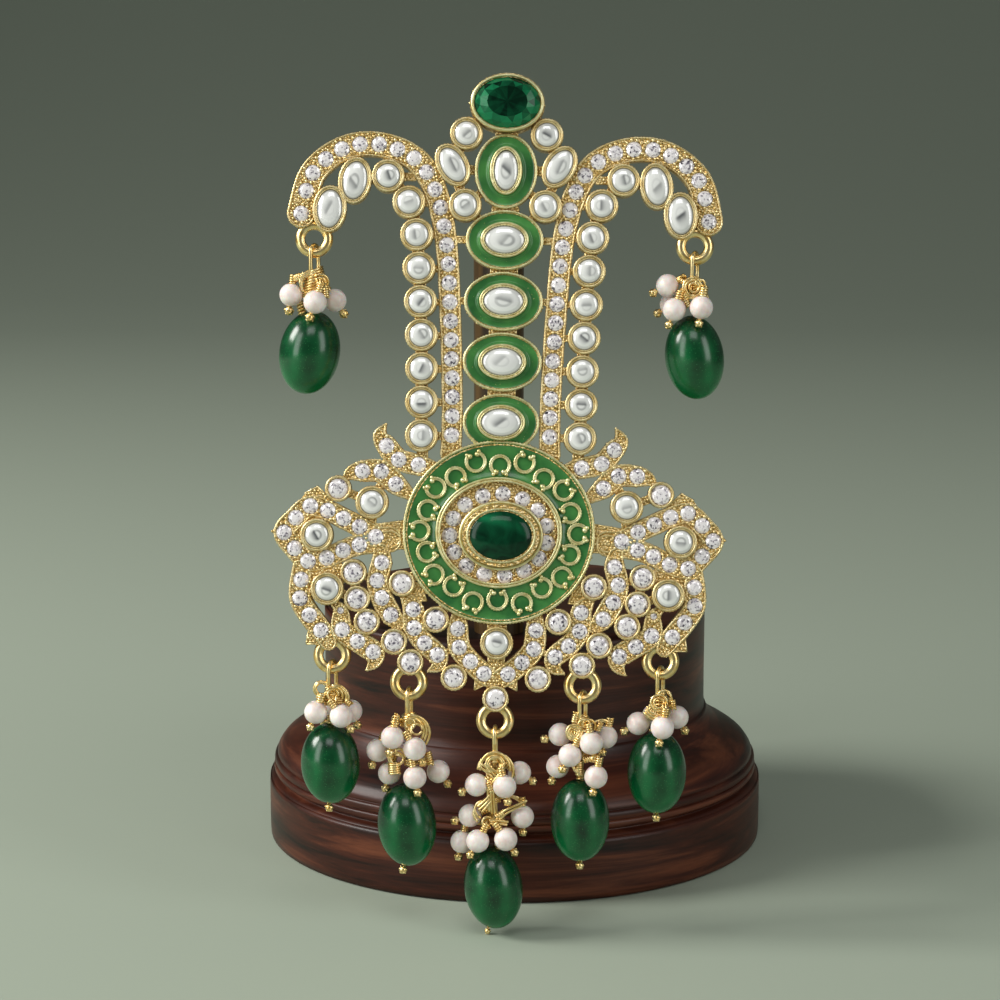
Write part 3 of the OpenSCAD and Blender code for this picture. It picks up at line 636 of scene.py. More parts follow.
class OrnamentStage(bpy.types.PropertyGroup):
    """Floor, lights and camera"""

    floor: StringProperty(name="Floor", description="Colour of the floor", default="#a6b1a0")
    key_power: FloatProperty(
        name="Key light", description="Power of the soft light at the upper left",
        default=9.0, min=0, subtype="POWER",
    )
    strip_power: FloatProperty(
        name="Strip lights",
        description="Power of the tall light at the left; the right one has four fifths of it",
        default=3.8, min=0, subtype="POWER",
    )
    fill_power: FloatProperty(
        name="Fill light", description="Power of the wide light behind the camera",
        default=2.4, min=0, subtype="POWER",
    )
    lens: FloatProperty(
        name="Lens", description="Focal length of the camera, in mm", default=90.0, min=20
    )
    eye: FloatVectorProperty(
        name="Camera", description="Where the camera stands",
        default=(-0.0028, -0.46694, 0.1461), subtype="TRANSLATION", unit="LENGTH",
    )
    look_down: FloatProperty(
        name="Look down", description="How far the camera looks down",
        default=math.radians(10), subtype="ANGLE", unit="ROTATION",
    )


# The five ovals of the column: height of the middle, half sizes of the rim and half sizes of the bezel
OVALS = (
    (60.2, (5.23, 6.26), (2.66, 4.0)),
    (48.7, (6.48, 5.0), (3.98, 2.93)),
    (38.5, (6.58, 4.92), (3.98, 2.93)),
    (28.4, (6.58, 4.92), (3.98, 2.93)),
    (18.3, (6.38, 4.83), (3.98, 2.93)),
)
EYES = ((-31.8, 48.4), (31.8, 48.4), (-27.4, -21.0), (-14.5, -25.3), (0, -31.4), (14.5, -25.3), (27.4, -21.0))
PAVE = ("pave_left_arm", "pave_right_arm", "pave_rosette", "pave_left_wing", "pave_right_wing")
FOIL = (
    "foil_stones_column",
    "foil_stones_crown",
    "foil_stones_left_arm",
    "foil_stones_right_arm",
    "foil_stones_wings",
)
ROSETTE_RIM = (16.0, 15.3)
CREST_AT = (0, 71.4)
RIM_W = 2.44
# Brilliants with a larger half size than this have a collar, which reaches this far from the stone's middle
LARGE_STONE = 1.45
COLLAR_REACH = 2.26
# Rings of the rosette, its stone and the crest: middle, half sizes, height, wire, points, sides and beading
FIXED_RINGS = (
    ((0, 0), (15.8, 15.1), RIM_W, 0.25, 360, 6, True),
    ((0, 0), (10.36, 9.06), 2.96, 0.2, 120),
    ((0, 0), (9.92, 8.62), 3.0, 0.2, 220, 6, True),
    ((0.35, -0.5), (5.6, 4.42), 4.15, 0.2, 120, 8, True),
    ((0.35, -0.5), (6.2, 4.98), 3.75, 0.24, 96),
    ((0.35, -0.5), (6.75, 5.5), 3.1, 0.3, 96),
    (CREST_AT, (5.85, 4.55), 3.9, 0.28, 96),
)
# Middle lines of the right arm and of the right wing's ribbons: u, v and half width
ARM = (
    (34, 52.5, 2.4), (32.2, 59.3, 2.2), (27.2, 63.5, 2.1), (21.2, 64.3, 2.1), (15.2, 62, 2.1),
    (11.7, 56.8, 2.0), (9.7, 48, 1.85), (8.75, 35, 1.8), (8.2, 22, 1.75), (8.2, 15.7, 1.75),
    (8.3, 12.9, 1.75),
)
RIBBONS = (
    (
        (19.1, 17.8, 0.1), (20.1, 15.9, 1.2), (19.0, 14.1, 1.75), (16.9, 11.8, 1.8), (13.6, 11.0, 1.8),
        (11.6, 10.4, 1.5),
    ),
    (
        (26.2, 8.2, 0.1), (24.9, 9.3, 1.2), (22.9, 9.8, 1.8), (19.8, 9.8, 1.9), (17.3, 7.7, 1.8),
        (15.2, 6.2, 1.1),
    ),
    (
        (18.0, -1.2, 1.9), (20.5, -1.1, 1.9), (23.2, 0.5, 1.75), (25.9, 1.8, 1.75), (28.6, 3.1, 1.75),
        (31.5, 3.8, 1.8), (33.9, 1.8, 1.8), (35.8, -0.7, 1.8), (34.0, -3.3, 1.8), (31.7, -5.4, 1.75),
        (28.6, -4.8, 1.75), (25.9, -3.5, 1.75), (23.2, -2.5, 1.75), (18.0, -1.8, 1.9),
    ),
    (
        (32.9, -6.4, 1.4), (32.8, -8.5, 1.85), (32.9, -11.6, 1.85), (31.3, -14.4, 1.85),
        (29.3, -16.9, 1.8), (28.0, -18.9, 1.4),
    ),
    (
        (19.6, -3.4, 1.3), (19.4, -5.4, 1.75), (20.1, -8.4, 1.8), (19.3, -11.3, 1.85), (17.7, -14.1, 1.8),
        (16.3, -15.6, 1.1),
    ),
    (
        (15.3, -11.0, 1.0), (14.0, -13.1, 1.8), (13.8, -16.2, 1.8), (12.0, -18.7, 1.8),
        (9.8, -20.6, 1.75), (9.7, -22.4, 1.2), (11.5, -23.4, 0.15),
    ),
    (
        (27.6, -12.3, 0.4), (26.1, -13.5, 1.3), (25.8, -16.7, 1.8), (23.2, -18.6, 1.8),
        (20.5, -20.3, 1.9), (20.4, -22.1, 1.2), (21.7, -23.5, 0.1),
    ),
    (
        (6.4, -14.4, 1.4), (6.5, -16.2, 1.75), (6.2, -19.3, 1.85), (4.3, -21.6, 1.8), (2.0, -23.6, 1.8),
        (0, -24.9, 1.5),
    ),
)


def front_edges(node, level):
    """Edges of the plate's front face, at a height, that belong to one triangle only, as rows of two ends."""
    co, tri = merged(node)
    p = to_plate(co)
    normal = unit(np.cross(p[tri[:, 1]] - p[tri[:, 0]], p[tri[:, 2]] - p[tri[:, 0]]) + 1e-12)
    flat = tri[(normal[:, 2] > 0.99) & (np.abs(p[tri, 2] - level).max(1) < 0.02)]
    ends = np.sort(flat[:, [[0, 1], [1, 2], [2, 0]]].reshape(-1, 2), 1)
    keys, times = np.unique(ends[:, 0] * len(co) + ends[:, 1], return_counts=True)
    once = keys[times == 1]
    return p[np.stack([once // len(co), once % len(co)], -1)]


def in_parts(test, points, size=500):
    """Runs a test on a few hundred points at a time, to spare memory."""
    return np.concatenate([test(part) for part in np.array_split(points, len(points) // size + 1)])


def inside(points, edges):
    """Whether each place lies in an outline: a ray to the right crosses it an odd number of times"""
    a, b = edges[:, 0, :2], edges[:, 1, :2]
    rise = np.where(a[:, 1] == b[:, 1], 1, b[:, 1] - a[:, 1])

    def odd(part):
        u, v = part[:, :1], part[:, 1:2]
        meets = a[:, 0] + (v - a[:, 1]) * (b[:, 0] - a[:, 0]) / rise > u
        return (((a[:, 1] > v) != (b[:, 1] > v)) & meets).sum(1) % 2 == 1

    return in_parts(odd, points)


def clear_of(points, spots, reach):
    """Whether each place lies further than reach from every spot."""

    def far(part):
        return (np.linalg.norm(part[:, None] - spots[None, :, :2], axis=-1) > reach).all(1)

    return in_parts(far, points)


def off_ovals(points, places, grow):
    """Whether each place lies outside every oval, a row of u, v, half sizes and turn, grown by a margin."""
    keep = np.ones(len(points), bool)
    for u0, v0, a0, b0, turn in places:
        x, y = turn_flat(points[:, 0] - u0, points[:, 1] - v0, -turn)
        keep &= (x / (a0 + grow)) ** 2 + (y / (b0 + grow)) ** 2 > 1
    return keep


def band_rim(rows, inset):
    """A closed line just inside the sides of a band whose rows are u, v and half width, with round ends."""
    p = rows[:, :2]
    ahead = unit(np.gradient(p, axis=0))
    side = np.stack([-ahead[:, 1], ahead[:, 0]], -1)
    half = np.maximum(rows[:, 2:] - inset, 0.04)
    a = np.linspace(0, math.pi, 9)[1:-1, None]
    caps = [p[i] + s * half[i] * (np.cos(a) * side[i] + np.sin(a) * ahead[i]) for i, s in ((-1, 1), (0, -1))]
    return np.concatenate([p + half * side, caps[0], (p - half * side)[::-1], caps[1], (p + half * side)[:1]])


def fixed_ovals():
    """Rosette, enamel ovals, crest and foil-backed stones as rows of u, v, half sizes and turn."""
    rows = [(0, 0, *ROSETTE_RIM, 0), (*CREST_AT, 6.25, 4.95, 0)] + [(0, v, *rim, 0) for v, rim, _ in OVALS]
    return rows + [(u, v, a + 0.9, b + 0.9, turn) for u, v, _, a, b, turn in stone_places(*FOIL[1:])]


def beaded_rims(shell, stones, reach, ovals):
    """Lays beaded lines inside both sides of each band. Where two bands cross, the later one lies on top."""
    props = bpy.context.scene.ornament_gold
    bands = [smooth_path(rows) for rows in (ARM, *RIBBONS)]
    bands = [band * [s, 1, 1] for band in bands for s in (1, -1)]
    spots = []
    for i, band in enumerate(bands):
        line = even_path(band_rim(band, props.rim_r + 0.02), props.rim_step)
        keep = clear_of(line, stones, reach) & off_ovals(line, ovals, 0.1)
        for over in bands[i // 2 * 2 + 2 :]:
            keep &= clear_of(line, over, over[:, 2] - 0.3)
        for part in kept_runs(line, keep):
            tube(shell, to_space(*part.T, PLATE_T + 0.06), milgrain(props.rim_r, len(part)))
            spots.append(part)
    return np.concatenate(spots)


def rounded_edges(shell, edges, radius=0.15):
    """Lays a six-sided bar along each edge, a little longer than the edge at both ends."""
    start, end = to_space(*edges[:, 0].T), to_space(*edges[:, 1].T)
    ahead = unit(end - start)[:, None]
    a = angles(6)[None, :, None]
    ring = (np.cos(a) * np.cross(ahead, OUT) + np.sin(a) * OUT) * radius * MM
    longer = ahead * 0.05 * MM
    bars = np.concatenate([start[:, None] - longer + ring, end[:, None] + longer + ring], 1)
    k = np.arange(6)
    sides = np.stack([k, (k + 1) % 6, (k + 1) % 6 + 6, k + 6], -1)
    shell.copies(bars, np.concatenate([sides, [[5, 2, 1, 0], [5, 4, 3, 2], [6, 7, 8, 11], [8, 9, 10, 11]]]))


def prong_places(stones, count=11, gap=0.45):
    """Places close round each small brilliant, none of them on a stone or within the gap of one before it."""
    u, v, size = stones[:, 0, None], stones[:, 1, None], stones[:, 3, None]
    a = angles(count) + u
    prongs = np.stack([u + (size + 0.3) * np.cos(a), v + (size + 0.3) * np.sin(a)], -1).reshape(-1, 2)
    prongs = prongs[(stones[:, 3] < LARGE_STONE).repeat(count)]
    prongs = prongs[clear_of(prongs, stones, stones[:, 3] + 0.2)]
    apart = np.linalg.norm(prongs[:, None] - prongs[None], axis=-1)
    free = np.ones(len(prongs), bool)
    for i in range(len(prongs)):
        if free[i]:
            free[i + 1 :] &= apart[i, i + 1 :] > gap
    return prongs[free]


def jittered_net(pitch, rng):
    """A hexagonal net over the whole plate, each place moved at random by up to 0.16 of the pitch."""
    row = np.arange(-36, 82, pitch * 0.866)
    u, v = np.meshgrid(np.arange(-38.5, 38.5, pitch), row)
    u = u + (np.arange(len(row)) % 2)[:, None] * pitch / 2
    net = np.stack([u, v], -1).reshape(-1, 2)
    return net + rng.uniform(-0.16, 0.16, net.shape) * pitch


class ORNAMENT_OT_casting(bpy.types.Operator):
    """Dresses the casting: stippled gold, beaded rims along the ribbons, and grains between the stones"""

    bl_idname = "ornament.casting"
    bl_label = "Gold casting"

    def execute(self, context):
        props = context.scene.ornament_gold
        bright = gold("grain")
        dress("casting", finish_of(cast_gold))
        dress("turban_pin", gold("wire"))
        stones = stone_places(*PAVE)
        reach = np.where(stones[:, 3] > LARGE_STONE, COLLAR_REACH, stones[:, 3] + 0.16)
        ovals = fixed_ovals()
        rims = Shell()
        spots = beaded_rims(rims, stones, reach, ovals)

        # Plain rounded edges where the plate ends away from a band
        edges = front_edges("casting", PLATE_T)
        middle = edges.mean(1)[:, :2]
        away = clear_of(middle, stones, reach) & off_ovals(middle, ovals, 0.08)
        rounded_edges(rims, edges[away & clear_of(middle, spots, 0.45)])
        rims.finish("edge_rims", bright, ROOT, "gold")

        # Raised grains round the brilliants, and finer ones all over the plate's front
        prongs = prong_places(stones)
        rng = np.random.default_rng(7)
        net = jittered_net(props.grain_pitch, rng)
        net = net[inside(net, edges)]
        for taken, gap in ((stones, stones[:, 3] + 0.22), (spots, 0.3), (prongs, 0.4)):
            net = net[clear_of(net, taken, gap)]
        ground = Shell()
        fine = rng.uniform(0.8, 1.15, len(net)) * props.ground_r
        grains(ground, to_space(*net.T, PLATE_T), fine, 5)
        raised = rng.uniform(0.85, 1.15, len(prongs)) * props.grain_r
        grains(ground, to_space(*prongs.T, PLATE_T + 0.08), raised)
        ground.finish("ground_grains", bright, ROOT, "gold")
        return {"FINISHED"}


class ORNAMENT_OT_collars(bpy.types.Operator):
    """Sets a beaded collar and a thin burnished bezel round every large stone"""

    bl_idname = "ornament.collars"
    bl_label = "Collars"

    def execute(self, context):
        shell = Shell()
        for u0, v0, _, a0, _, turn in stone_places(*PAVE):
            if a0 > LARGE_STONE:
                plate_ring(shell, (u0, v0), (1.98, 1.98), 2.34, 0.23, 44, 6, True, turn)
        for u0, v0, _, a0, b0, turn in stone_places(*FOIL[1:]):
            count = int(round(math.pi * (a0 + b0 + 1.3) / 0.52)) * 2
            plate_ring(shell, (u0, v0), (a0 + 0.66, b0 + 0.66), 2.84, 0.25, count, 6, True, turn)
            plate_ring(shell, (u0, v0), (a0 + 0.3, b0 + 0.3), 2.86, 0.14, 44, 6, False, turn)
        shell.finish("stone_collars", gold("grain"), ROOT, "gold")
        return {"FINISHED"}


def oval_rims(shell, v0, rim, bezel):
    """An oval's beaded rim and two rings round its stone. The lowest rim is open at the rosette."""
    half_u, half_v = rim[0] - 0.2, rim[1] - 0.2
    if v0 == OVALS[-1][0]:
        p = ellipse(half_u, half_v, 140)
        far = np.hypot(p[:, 0] / 15.8, (p[:, 1] + v0) / 15.1) > 1
        p = np.roll(p, -int(np.argmax(far & ~np.roll(far, 1))), 0)[: far.sum()]
        tube(shell, to_space(p[:, 0], p[:, 1] + v0, RIM_W), milgrain(0.23, len(p)))
    else:
        plate_ring(shell, (0, v0), (half_u, half_v), RIM_W, 0.23, 140, 6, True)
    plate_ring(shell, (0, v0), (bezel[0] - 0.14, bezel[1] - 0.14), 3.22, 0.2, 72, 6)
    plate_ring(shell, (0, v0), (bezel[0] - 0.5, bezel[1] - 0.5), 3.3, 0.12, 72, 6, True)


def open_ring(shell, reach, step, way):
    """A double wire bent nearly round, each end curled into grains. Its opening looks outwards or inwards."""
    bend = np.radians(np.linspace(120, 420, 42))
    at = np.array([reach[0] * math.cos(step), reach[1] * math.sin(step)])
    turn = math.atan2(at[1], at[0]) + way * math.pi / 2
    for radius, w, wire in ((1.68, RIM_W, milgrain(0.2, 42)), (1.4, 2.42, 0.16)):
        tube(shell, on_plate(*at, turn, radius * np.cos(bend), radius * np.sin(bend), w), wire)
    tips = on_plate(*at, turn, np.array([-0.62, 0.62, -1.05, 1.05]), np.array([1.12, 1.12, 1.5, 1.5]), 2.42)
    grains(shell, tips, np.array([0.45, 0.45, 0.36, 0.36]), 10, 6)


class ORNAMENT_OT_bezels(bpy.types.Operator):
    """Rounds the rims of the rosette, the ovals and the crest, and lays the small open wire rings"""

    bl_idname = "ornament.bezels"
    bl_label = "Bezels and wire rings"

    def execute(self, context):
        shell = Shell()
        for ring in FIXED_RINGS:
            plate_ring(shell, *ring)
        for oval in OVALS:
            oval_rims(shell, *oval)
        for i in range(10):
            open_ring(shell, (13.2, 12.3), math.radians(36 * i), -1)
        for i in range(10, 20):
            open_ring(shell, (12.5, 11.2), math.radians(18 + 36 * i), 1)
        shell.finish("bezels_and_wires", gold("rim"), ROOT, "gold")
        return {"FINISHED"}


class ORNAMENT_OT_eyes(bpy.types.Operator):
    """Rounds the seven hanging eyes: a smooth ring with a step round its inside"""

    bl_idname = "ornament.eyes"
    bl_label = "Hanging eyes"

    def execute(self, context):
        shell = Shell()
        for eye in EYES:
            plate_ring(shell, eye, (2.33, 2.33), 0.95, 0.84, 60, 20)
            plate_ring(shell, eye, (1.92, 1.92), 1.25, 0.38, 60, 12)
        shell.finish("hanging_eyes", gold("wire"), ROOT, "gold")
        return {"FINISHED"}


def enamel_field(shell, v0, inner, outer, step, cut=False):
    """A poured field between two ellipses, as a closed ring: level, with a step inside and a lip outside."""
    level = [0.35, 0.5, 0.65, 0.8, 0.9, 0.95, 0.98, 1.0, 1.0, 0.0]
    t = np.array([0, 0.004, step * 0.8, step, step * 1.25, *level])
    w = np.array([2.3, 2.5, 2.48, 2.3, 2.2, 2.16, 2.14, 2.15, 2.18, 2.24, 2.33, 2.44, 2.4, 1.5, 1.5])
    count = 144
    share = t[:, None, None]
    p = ellipse(*inner, count)[None] * (1 - share) + ellipse(*outer, count)[None] * share
    u, v = p[..., 0], p[..., 1] + v0
    w = np.broadcast_to(w[:, None], u.shape)
    if cut:
        # Sunk out of sight where the rosette covers it
        w = np.where(np.hypot(u / 15.9, v / 15.2) < 1, 1.3, w)
    shell.add(to_space(u, v, w), grid(len(t), count, True, True)[:, ::-1])


class ORNAMENT_OT_enamel(bpy.types.Operator):
    """Pours the green enamel of the rosette and of the five ovals up to their gold rims"""

    bl_idname = "ornament.enamel"
    bl_label = "Enamel"

    def execute(self, context):
        green = finish_of(green_enamel)
        rosette = Shell()
        enamel_field(rosette, 0, (10.3, 9.0), (15.62, 14.92), 0.06)
        rosette.finish("enamel_ring", green, ROOT, "enamel", ["enamel_rosette"])
        ovals = Shell()
        for v0, rim, bezel in OVALS:
            inner, outer = (bezel[0] - 0.05, bezel[1] - 0.05), (rim[0] - 0.3, rim[1] - 0.3)
            enamel_field(ovals, v0, inner, outer, 0.22, v0 == OVALS[-1][0])
        ovals.finish("enamel_fields", green, ROOT, "enamel", ["enamel_ovals"])
        return {"FINISHED"}


def brilliant():
    """Unit brilliant cut: a table of three rows, stars, kites and halves over the girdle, a pointed back."""
    rings = [circle(0.58, 0.27, 8), circle(0.8, 0.17, 8, 0.5), circle(1.0, 0.03, 16), circle(1.0, -0.04, 16)]
    points = np.concatenate([*rings, circle(0.3, 0.29, 8, 0.5), [[0, 0, -0.6], [0, 0, 0.3]]])
    t, s, g, b, c, tip, top = 0, 8, 16, 32, 48, 56, 57
    faces = []
    for i in range(8):
        j, h = (i + 1) % 8, (i - 1) % 8
        near, mid, last = 2 * i, 2 * i + 1, (2 * i + 2) % 16
        faces += [(top, c + h, c + i), (c + h, t + i, c + i), (t + i, t + j, c + i)]
        faces += [(t + i, s + i, t + j), (t + i, s + h, s + i), (s + h, g + near, s + i)]
        faces += [(s + i, g + near, g + mid), (s + i, g + mid, g + last)]
        faces += [(g + near, b + near, b + mid, g + mid), (g + mid, b + mid, b + last, g + last)]
        faces += [(tip, b + mid, b + near), (tip, b + last, b + mid)]
    return points, faces


class ORNAMENT_OT_brilliants(bpy.types.Operator):
    """Cuts every brilliant: a full crown over a foiled back, turned a little, with a painted reflection facet
    by facet
    """

    bl_idname = "ornament.brilliants"
    bl_label = "Brilliants"

    def execute(self, context):
        points, faces = brilliant()
        rng = np.random.default_rng(3)
        for node in PAVE:
            shell, tints = Shell(), []
            for u0, v0, w0, size, _, _ in stone_places(node):
                spin, tilt = rng.uniform(0, math.pi / 4), np.radians(rng.uniform(-4, 4, 2))
                x, y = turn_flat(*points[:, :2].T, spin)
                w = points[:, 2] + x * tilt[0] + y * tilt[1]
                r = 1.04 * size
                shell.add(to_space(u0 + r * x, v0 + r * y, w0 + r * w), faces)
                # Painted reflection: about half the facets white, the rest light, mid or dark grey, at random
                tints.append(rng.choice([1.0, 0.8, 0.5, 0.1], len(faces), p=[0.48, 0.2, 0.18, 0.14]))
            name = node.replace("pave", "brilliants")
            crystal = finish_of(cut_crystal)
            shell.finish(name, crystal, ROOT, "brilliant", [node], True, tint=np.concatenate(tints))
        return {"FINISHED"}


def dome(rise, rings=15, around=36):
    """Unit domed stone: circles that close in as they rise by a quarter of an ellipse, over a flat back."""
    radius = 1 - 0.94 * np.linspace(0, 1, rings) ** 1.3
    height = rise * (1 - radius**2.5) ** 0.7
    side = np.concatenate([[[0.9, -0.3]], np.stack([radius, height], -1)])
    points = np.concatenate([turned(side, around), [[0, 0, -0.3], [0, 0, rise]]])
    return points, capped(rings + 1, around)


def painted_foil_reflection(points, rng):
    """Painted reflection under each point of a unit stone: how dark the crumpled foil looks where it mirrors
    dark surroundings, as a soft wedge, a curved crease beside it and a dim band near the edge."""
    turn = rng.uniform(-math.pi, math.pi)
    x, y = turn_flat(*points[:, :2].T, -turn)
    x = x - rng.uniform(-0.15, 0.1)
    far = np.hypot(x, y)
    wedge = np.exp(-np.abs(x) / 0.28 - (y / 0.45) ** 4) / (1 + np.exp(-x / 0.04))
    crease = np.exp(-(((far - 0.36) / 0.09) ** 2)) / (1 + np.exp(x / 0.12))
    band = np.exp(-(((np.hypot(points[:, 0], points[:, 1]) - 0.8) / 0.1) ** 2))
    return np.clip(rng.uniform(0.55, 1.2) * wedge + rng.uniform(0.15, 0.7) * crease + 0.24 * band, 0, 1)


class ORNAMENT_OT_foil_stones(bpy.types.Operator):
    """Sets the clear foil-backed stones: softly domed glass over bright foil"""

    bl_idname = "ornament.foil_stones"
    bl_label = "Foil-backed stones"

    def execute(self, context):
        points, faces = dome(0.3)
        edge = np.hypot(points[:, 0], points[:, 1])
        rng = np.random.default_rng(11)
        for node in FOIL:
            shell, foil_reflections = Shell(), []
            for u0, v0, w0, a0, b0, turn in stone_places(node):
                grow, lift = (0.05, w0) if node == FOIL[0] else (0.2, 2.8)
                x, y = (a0 + grow) * points[:, 0], (b0 + grow) * points[:, 1]
                shell.add(on_plate(u0, v0, turn, x, y, lift + (a0 + grow) * points[:, 2]), faces)
                # Painted reflections in the foil, different for each stone
                foil_reflections.append(painted_foil_reflection(points, rng))
            layers = {"foil_reflection": np.concatenate(foil_reflections), "edge": np.tile(edge, len(foil_reflections))}
            name = node.replace("foil", "domed")
            shell.finish(name, finish_of(foiled_glass), ROOT, "foil_stone", [node], **layers)
        return {"FINISHED"}


def step_oval(n=16):
    """Unit oval cut: a table, two rows of crown facets, girdle and closed back. Table faces come first."""
    rings = [circle(0.6, 0.3, n), circle(0.82, 0.2, n, 0.5), circle(1, 0, n), circle(1, -0.04, n)]
    points = np.concatenate([*rings, [[0, 0, -0.3], [0, 0, 0.31]]])
    table, rest = [], []
    for i in range(n):
        j = (i + 1) % n
        table += [(4 * n + 1, i, j)]
        rest += [(i, n + i, j), (n + i, n + j, j), (n + i, 2 * n + j, n + j), (n + i, 2 * n + i, 2 * n + j)]
        rest += [(2 * n + i, 3 * n + i, 3 * n + j, 2 * n + j), (4 * n, 3 * n + j, 3 * n + i)]
    return points, table + rest


def set_stone(node, points, faces, grow, lift):
    """Sets a unit stone in the place of a node's stone, a little larger and lifted in mm."""
    u0, v0, w0, a0, b0, turn = stone_places(node)[0]
    x, y = grow * a0 * points[:, 0], grow * b0 * points[:, 1]
    return Shell().add(on_plate(u0, v0, turn, x, y, w0 + lift + b0 * points[:, 2]), faces)


class ORNAMENT_OT_green_stones(bpy.types.Operator):
    """Cuts the green crest stone in facets and domes the green rosette stone"""

    bl_idname = "ornament.green_stones"
    bl_label = "Large green stones"

    def execute(self, context):
        rng = np.random.default_rng(4)
        glass = finish_of(green_crystal)
        points, faces = step_oval()
        middle = np.array([points[list(face), 0].mean() for face in faces])
        # Painted reflection of the crest: a dark table, and crown facets lighter at random and more so on the
        # left
        table, crown = rng.uniform(0, 0.12, len(faces)), rng.uniform(0.1, 0.75, len(faces)) - 0.25 * middle
        tint = np.where(np.arange(len(faces)) < 16, table, crown)
        shell = set_stone("crest_stone", points, faces, 1.03, 0.15)
        shell.finish("crest_cut_stone", glass, ROOT, "green_stone", ["crest_stone"], True, tint=tint)

        points, faces = dome(0.24, 14, 56)
        # Painted reflection of the rosette stone: a light swirl on its left, brighter towards the bottom,
        # over a dark ground
        swirl = points[:, 0] + 0.55 - 0.35 * points[:, 1]
        tint = 0.5 * np.exp(-((swirl / 0.2) ** 2)) * (1 - points[:, 1]) / 2 + 0.08
        shell = set_stone("rosette_stone", points, faces, 1.04, 0.1)
        shell.finish("rosette_domed_stone", glass, ROOT, "green_stone", ["rosette_stone"], tint=tint)
        return {"FINISHED"}


# The seven drops, in mm from their hinges
# Beads: x and z of the middle, half height, lean in degrees, radius and end ball
BEADS = (
    (-1.0, -16.7, 7.1, 10, 5.1, 0), (0.15, -16.3, 7.1, -8, 4.95, 0), (-0.5, -16.3, 6.9, -2, 4.95, 0.7),
    (-0.5, -22.3, 7.1, -5, 4.95, 0.7), (-0.3, -26.6, 7.2, -7, 4.95, 0.5),
    (-0.3, -20.9, 7.1, 0, 4.95, 0.7), (-0.4, -16.7, 7.1, 0, 4.95, 0.7),
)
# Pearls: x, y, z and the lean of the pin in degrees
PEARLS = (
    ((-3.9, -1.1, -6.9, -8), (0.3, -3.6, -7.9, -20), (3.3, 0.7, -8.0, 33), (-0.3, 3.9, -7.8, 0)),
    ((-4.5, 0, -4.2, -63), (-3.5, -2.5, -8.0, -19), (0.9, -3.7, -7.5, -8), (-3.7, 2.2, -7.6, -57)),
    ((-2.7, -1.9, -7.0, -20), (1.6, -2.9, -7.4, 35), (2.9, 1.9, -7.8, 25), (-1.4, 4.0, -7.5, -8)),
    (
        (-2.7, -2.7, -6.4, -10), (-5.3, 0.4, -9.5, -21), (1.0, -2.9, -8.3, 28), (-3.4, 0.9, -13.6, -14),
        (1.0, -3.1, -13.2, 10), (4.8, 0.5, -13.2, 37),
    ),
    (
        (-3.1, -1.2, -8.4, -63), (1.6, -2.5, -8.3, 11), (4.1, 1.2, -7.0, 57), (-4.2, 0, -14.1, -70),
        (4.6, 0, -14.3, 2), (-2.9, -2.4, -17.8, -27), (1.8, -2.7, -17.4, 33), (-5.6, 0.8, -18.9, -12),
    ),
    (
        (-3.7, 1.3, -6.4, -73), (1.4, -2.6, -6.8, 8), (4.0, 0.9, -6.7, -12), (-2.1, -2.3, -9.0, -28),
        (-4.1, 0.4, -11.7, -21), (2.2, -3.4, -12.4, -10),
    ),
    ((-3.6, 0, -8.3, -60), (0.2, -3.8, -8.0, -10), (3.0, 1.4, -7.6, 30), (-0.8, 3.9, -8.0, 0)),
)
PEARL_R = 1.95
# How far each jump link hangs turned, in degrees
LINK_TURNS = (22, 22, 22, 12, 5, 22, 22)
# Wraps round each bundle of pins: start and end height, both radii, turns, sideways drift and slope
WRAPS = (
    ((-2.7, -6.9, 1.3, 2.3, 9, -0.1, 0.32), (-5.6, -7.0, 1.5, 1.9, 2, 0.1, -0.1)),
    ((-3.2, -5.8, 0.9, 1.5, 6, 0.3, 0.1),),
    ((-3.1, -5.9, 0.9, 2.1, 7, 0.6, 0.12),),
    ((-3.0, -5.0, 1.0, 1.6, 5, 0.2, 0.1), (-10.6, -11.8, 0.7, 1.3, 3, 0.5, 0)),
    (
        (-3.4, -4.6, 0.8, 1.0, 3, 0, 0), (-10.6, -11.8, 0.6, 1.1, 3, -0.3, 0.2),
        (-14.0, -15.4, 1.3, 1.7, 4, 0.2, -0.1),
    ),
    ((-2.8, -4.6, 0.9, 1.4, 5, 0.2, -0.1), (-9.0, -10.2, 0.6, 1.0, 3, 0.6, 0.2)),
    ((-3.2, -5.6, 0.9, 1.5, 4, 0.3, 0.1),),
)
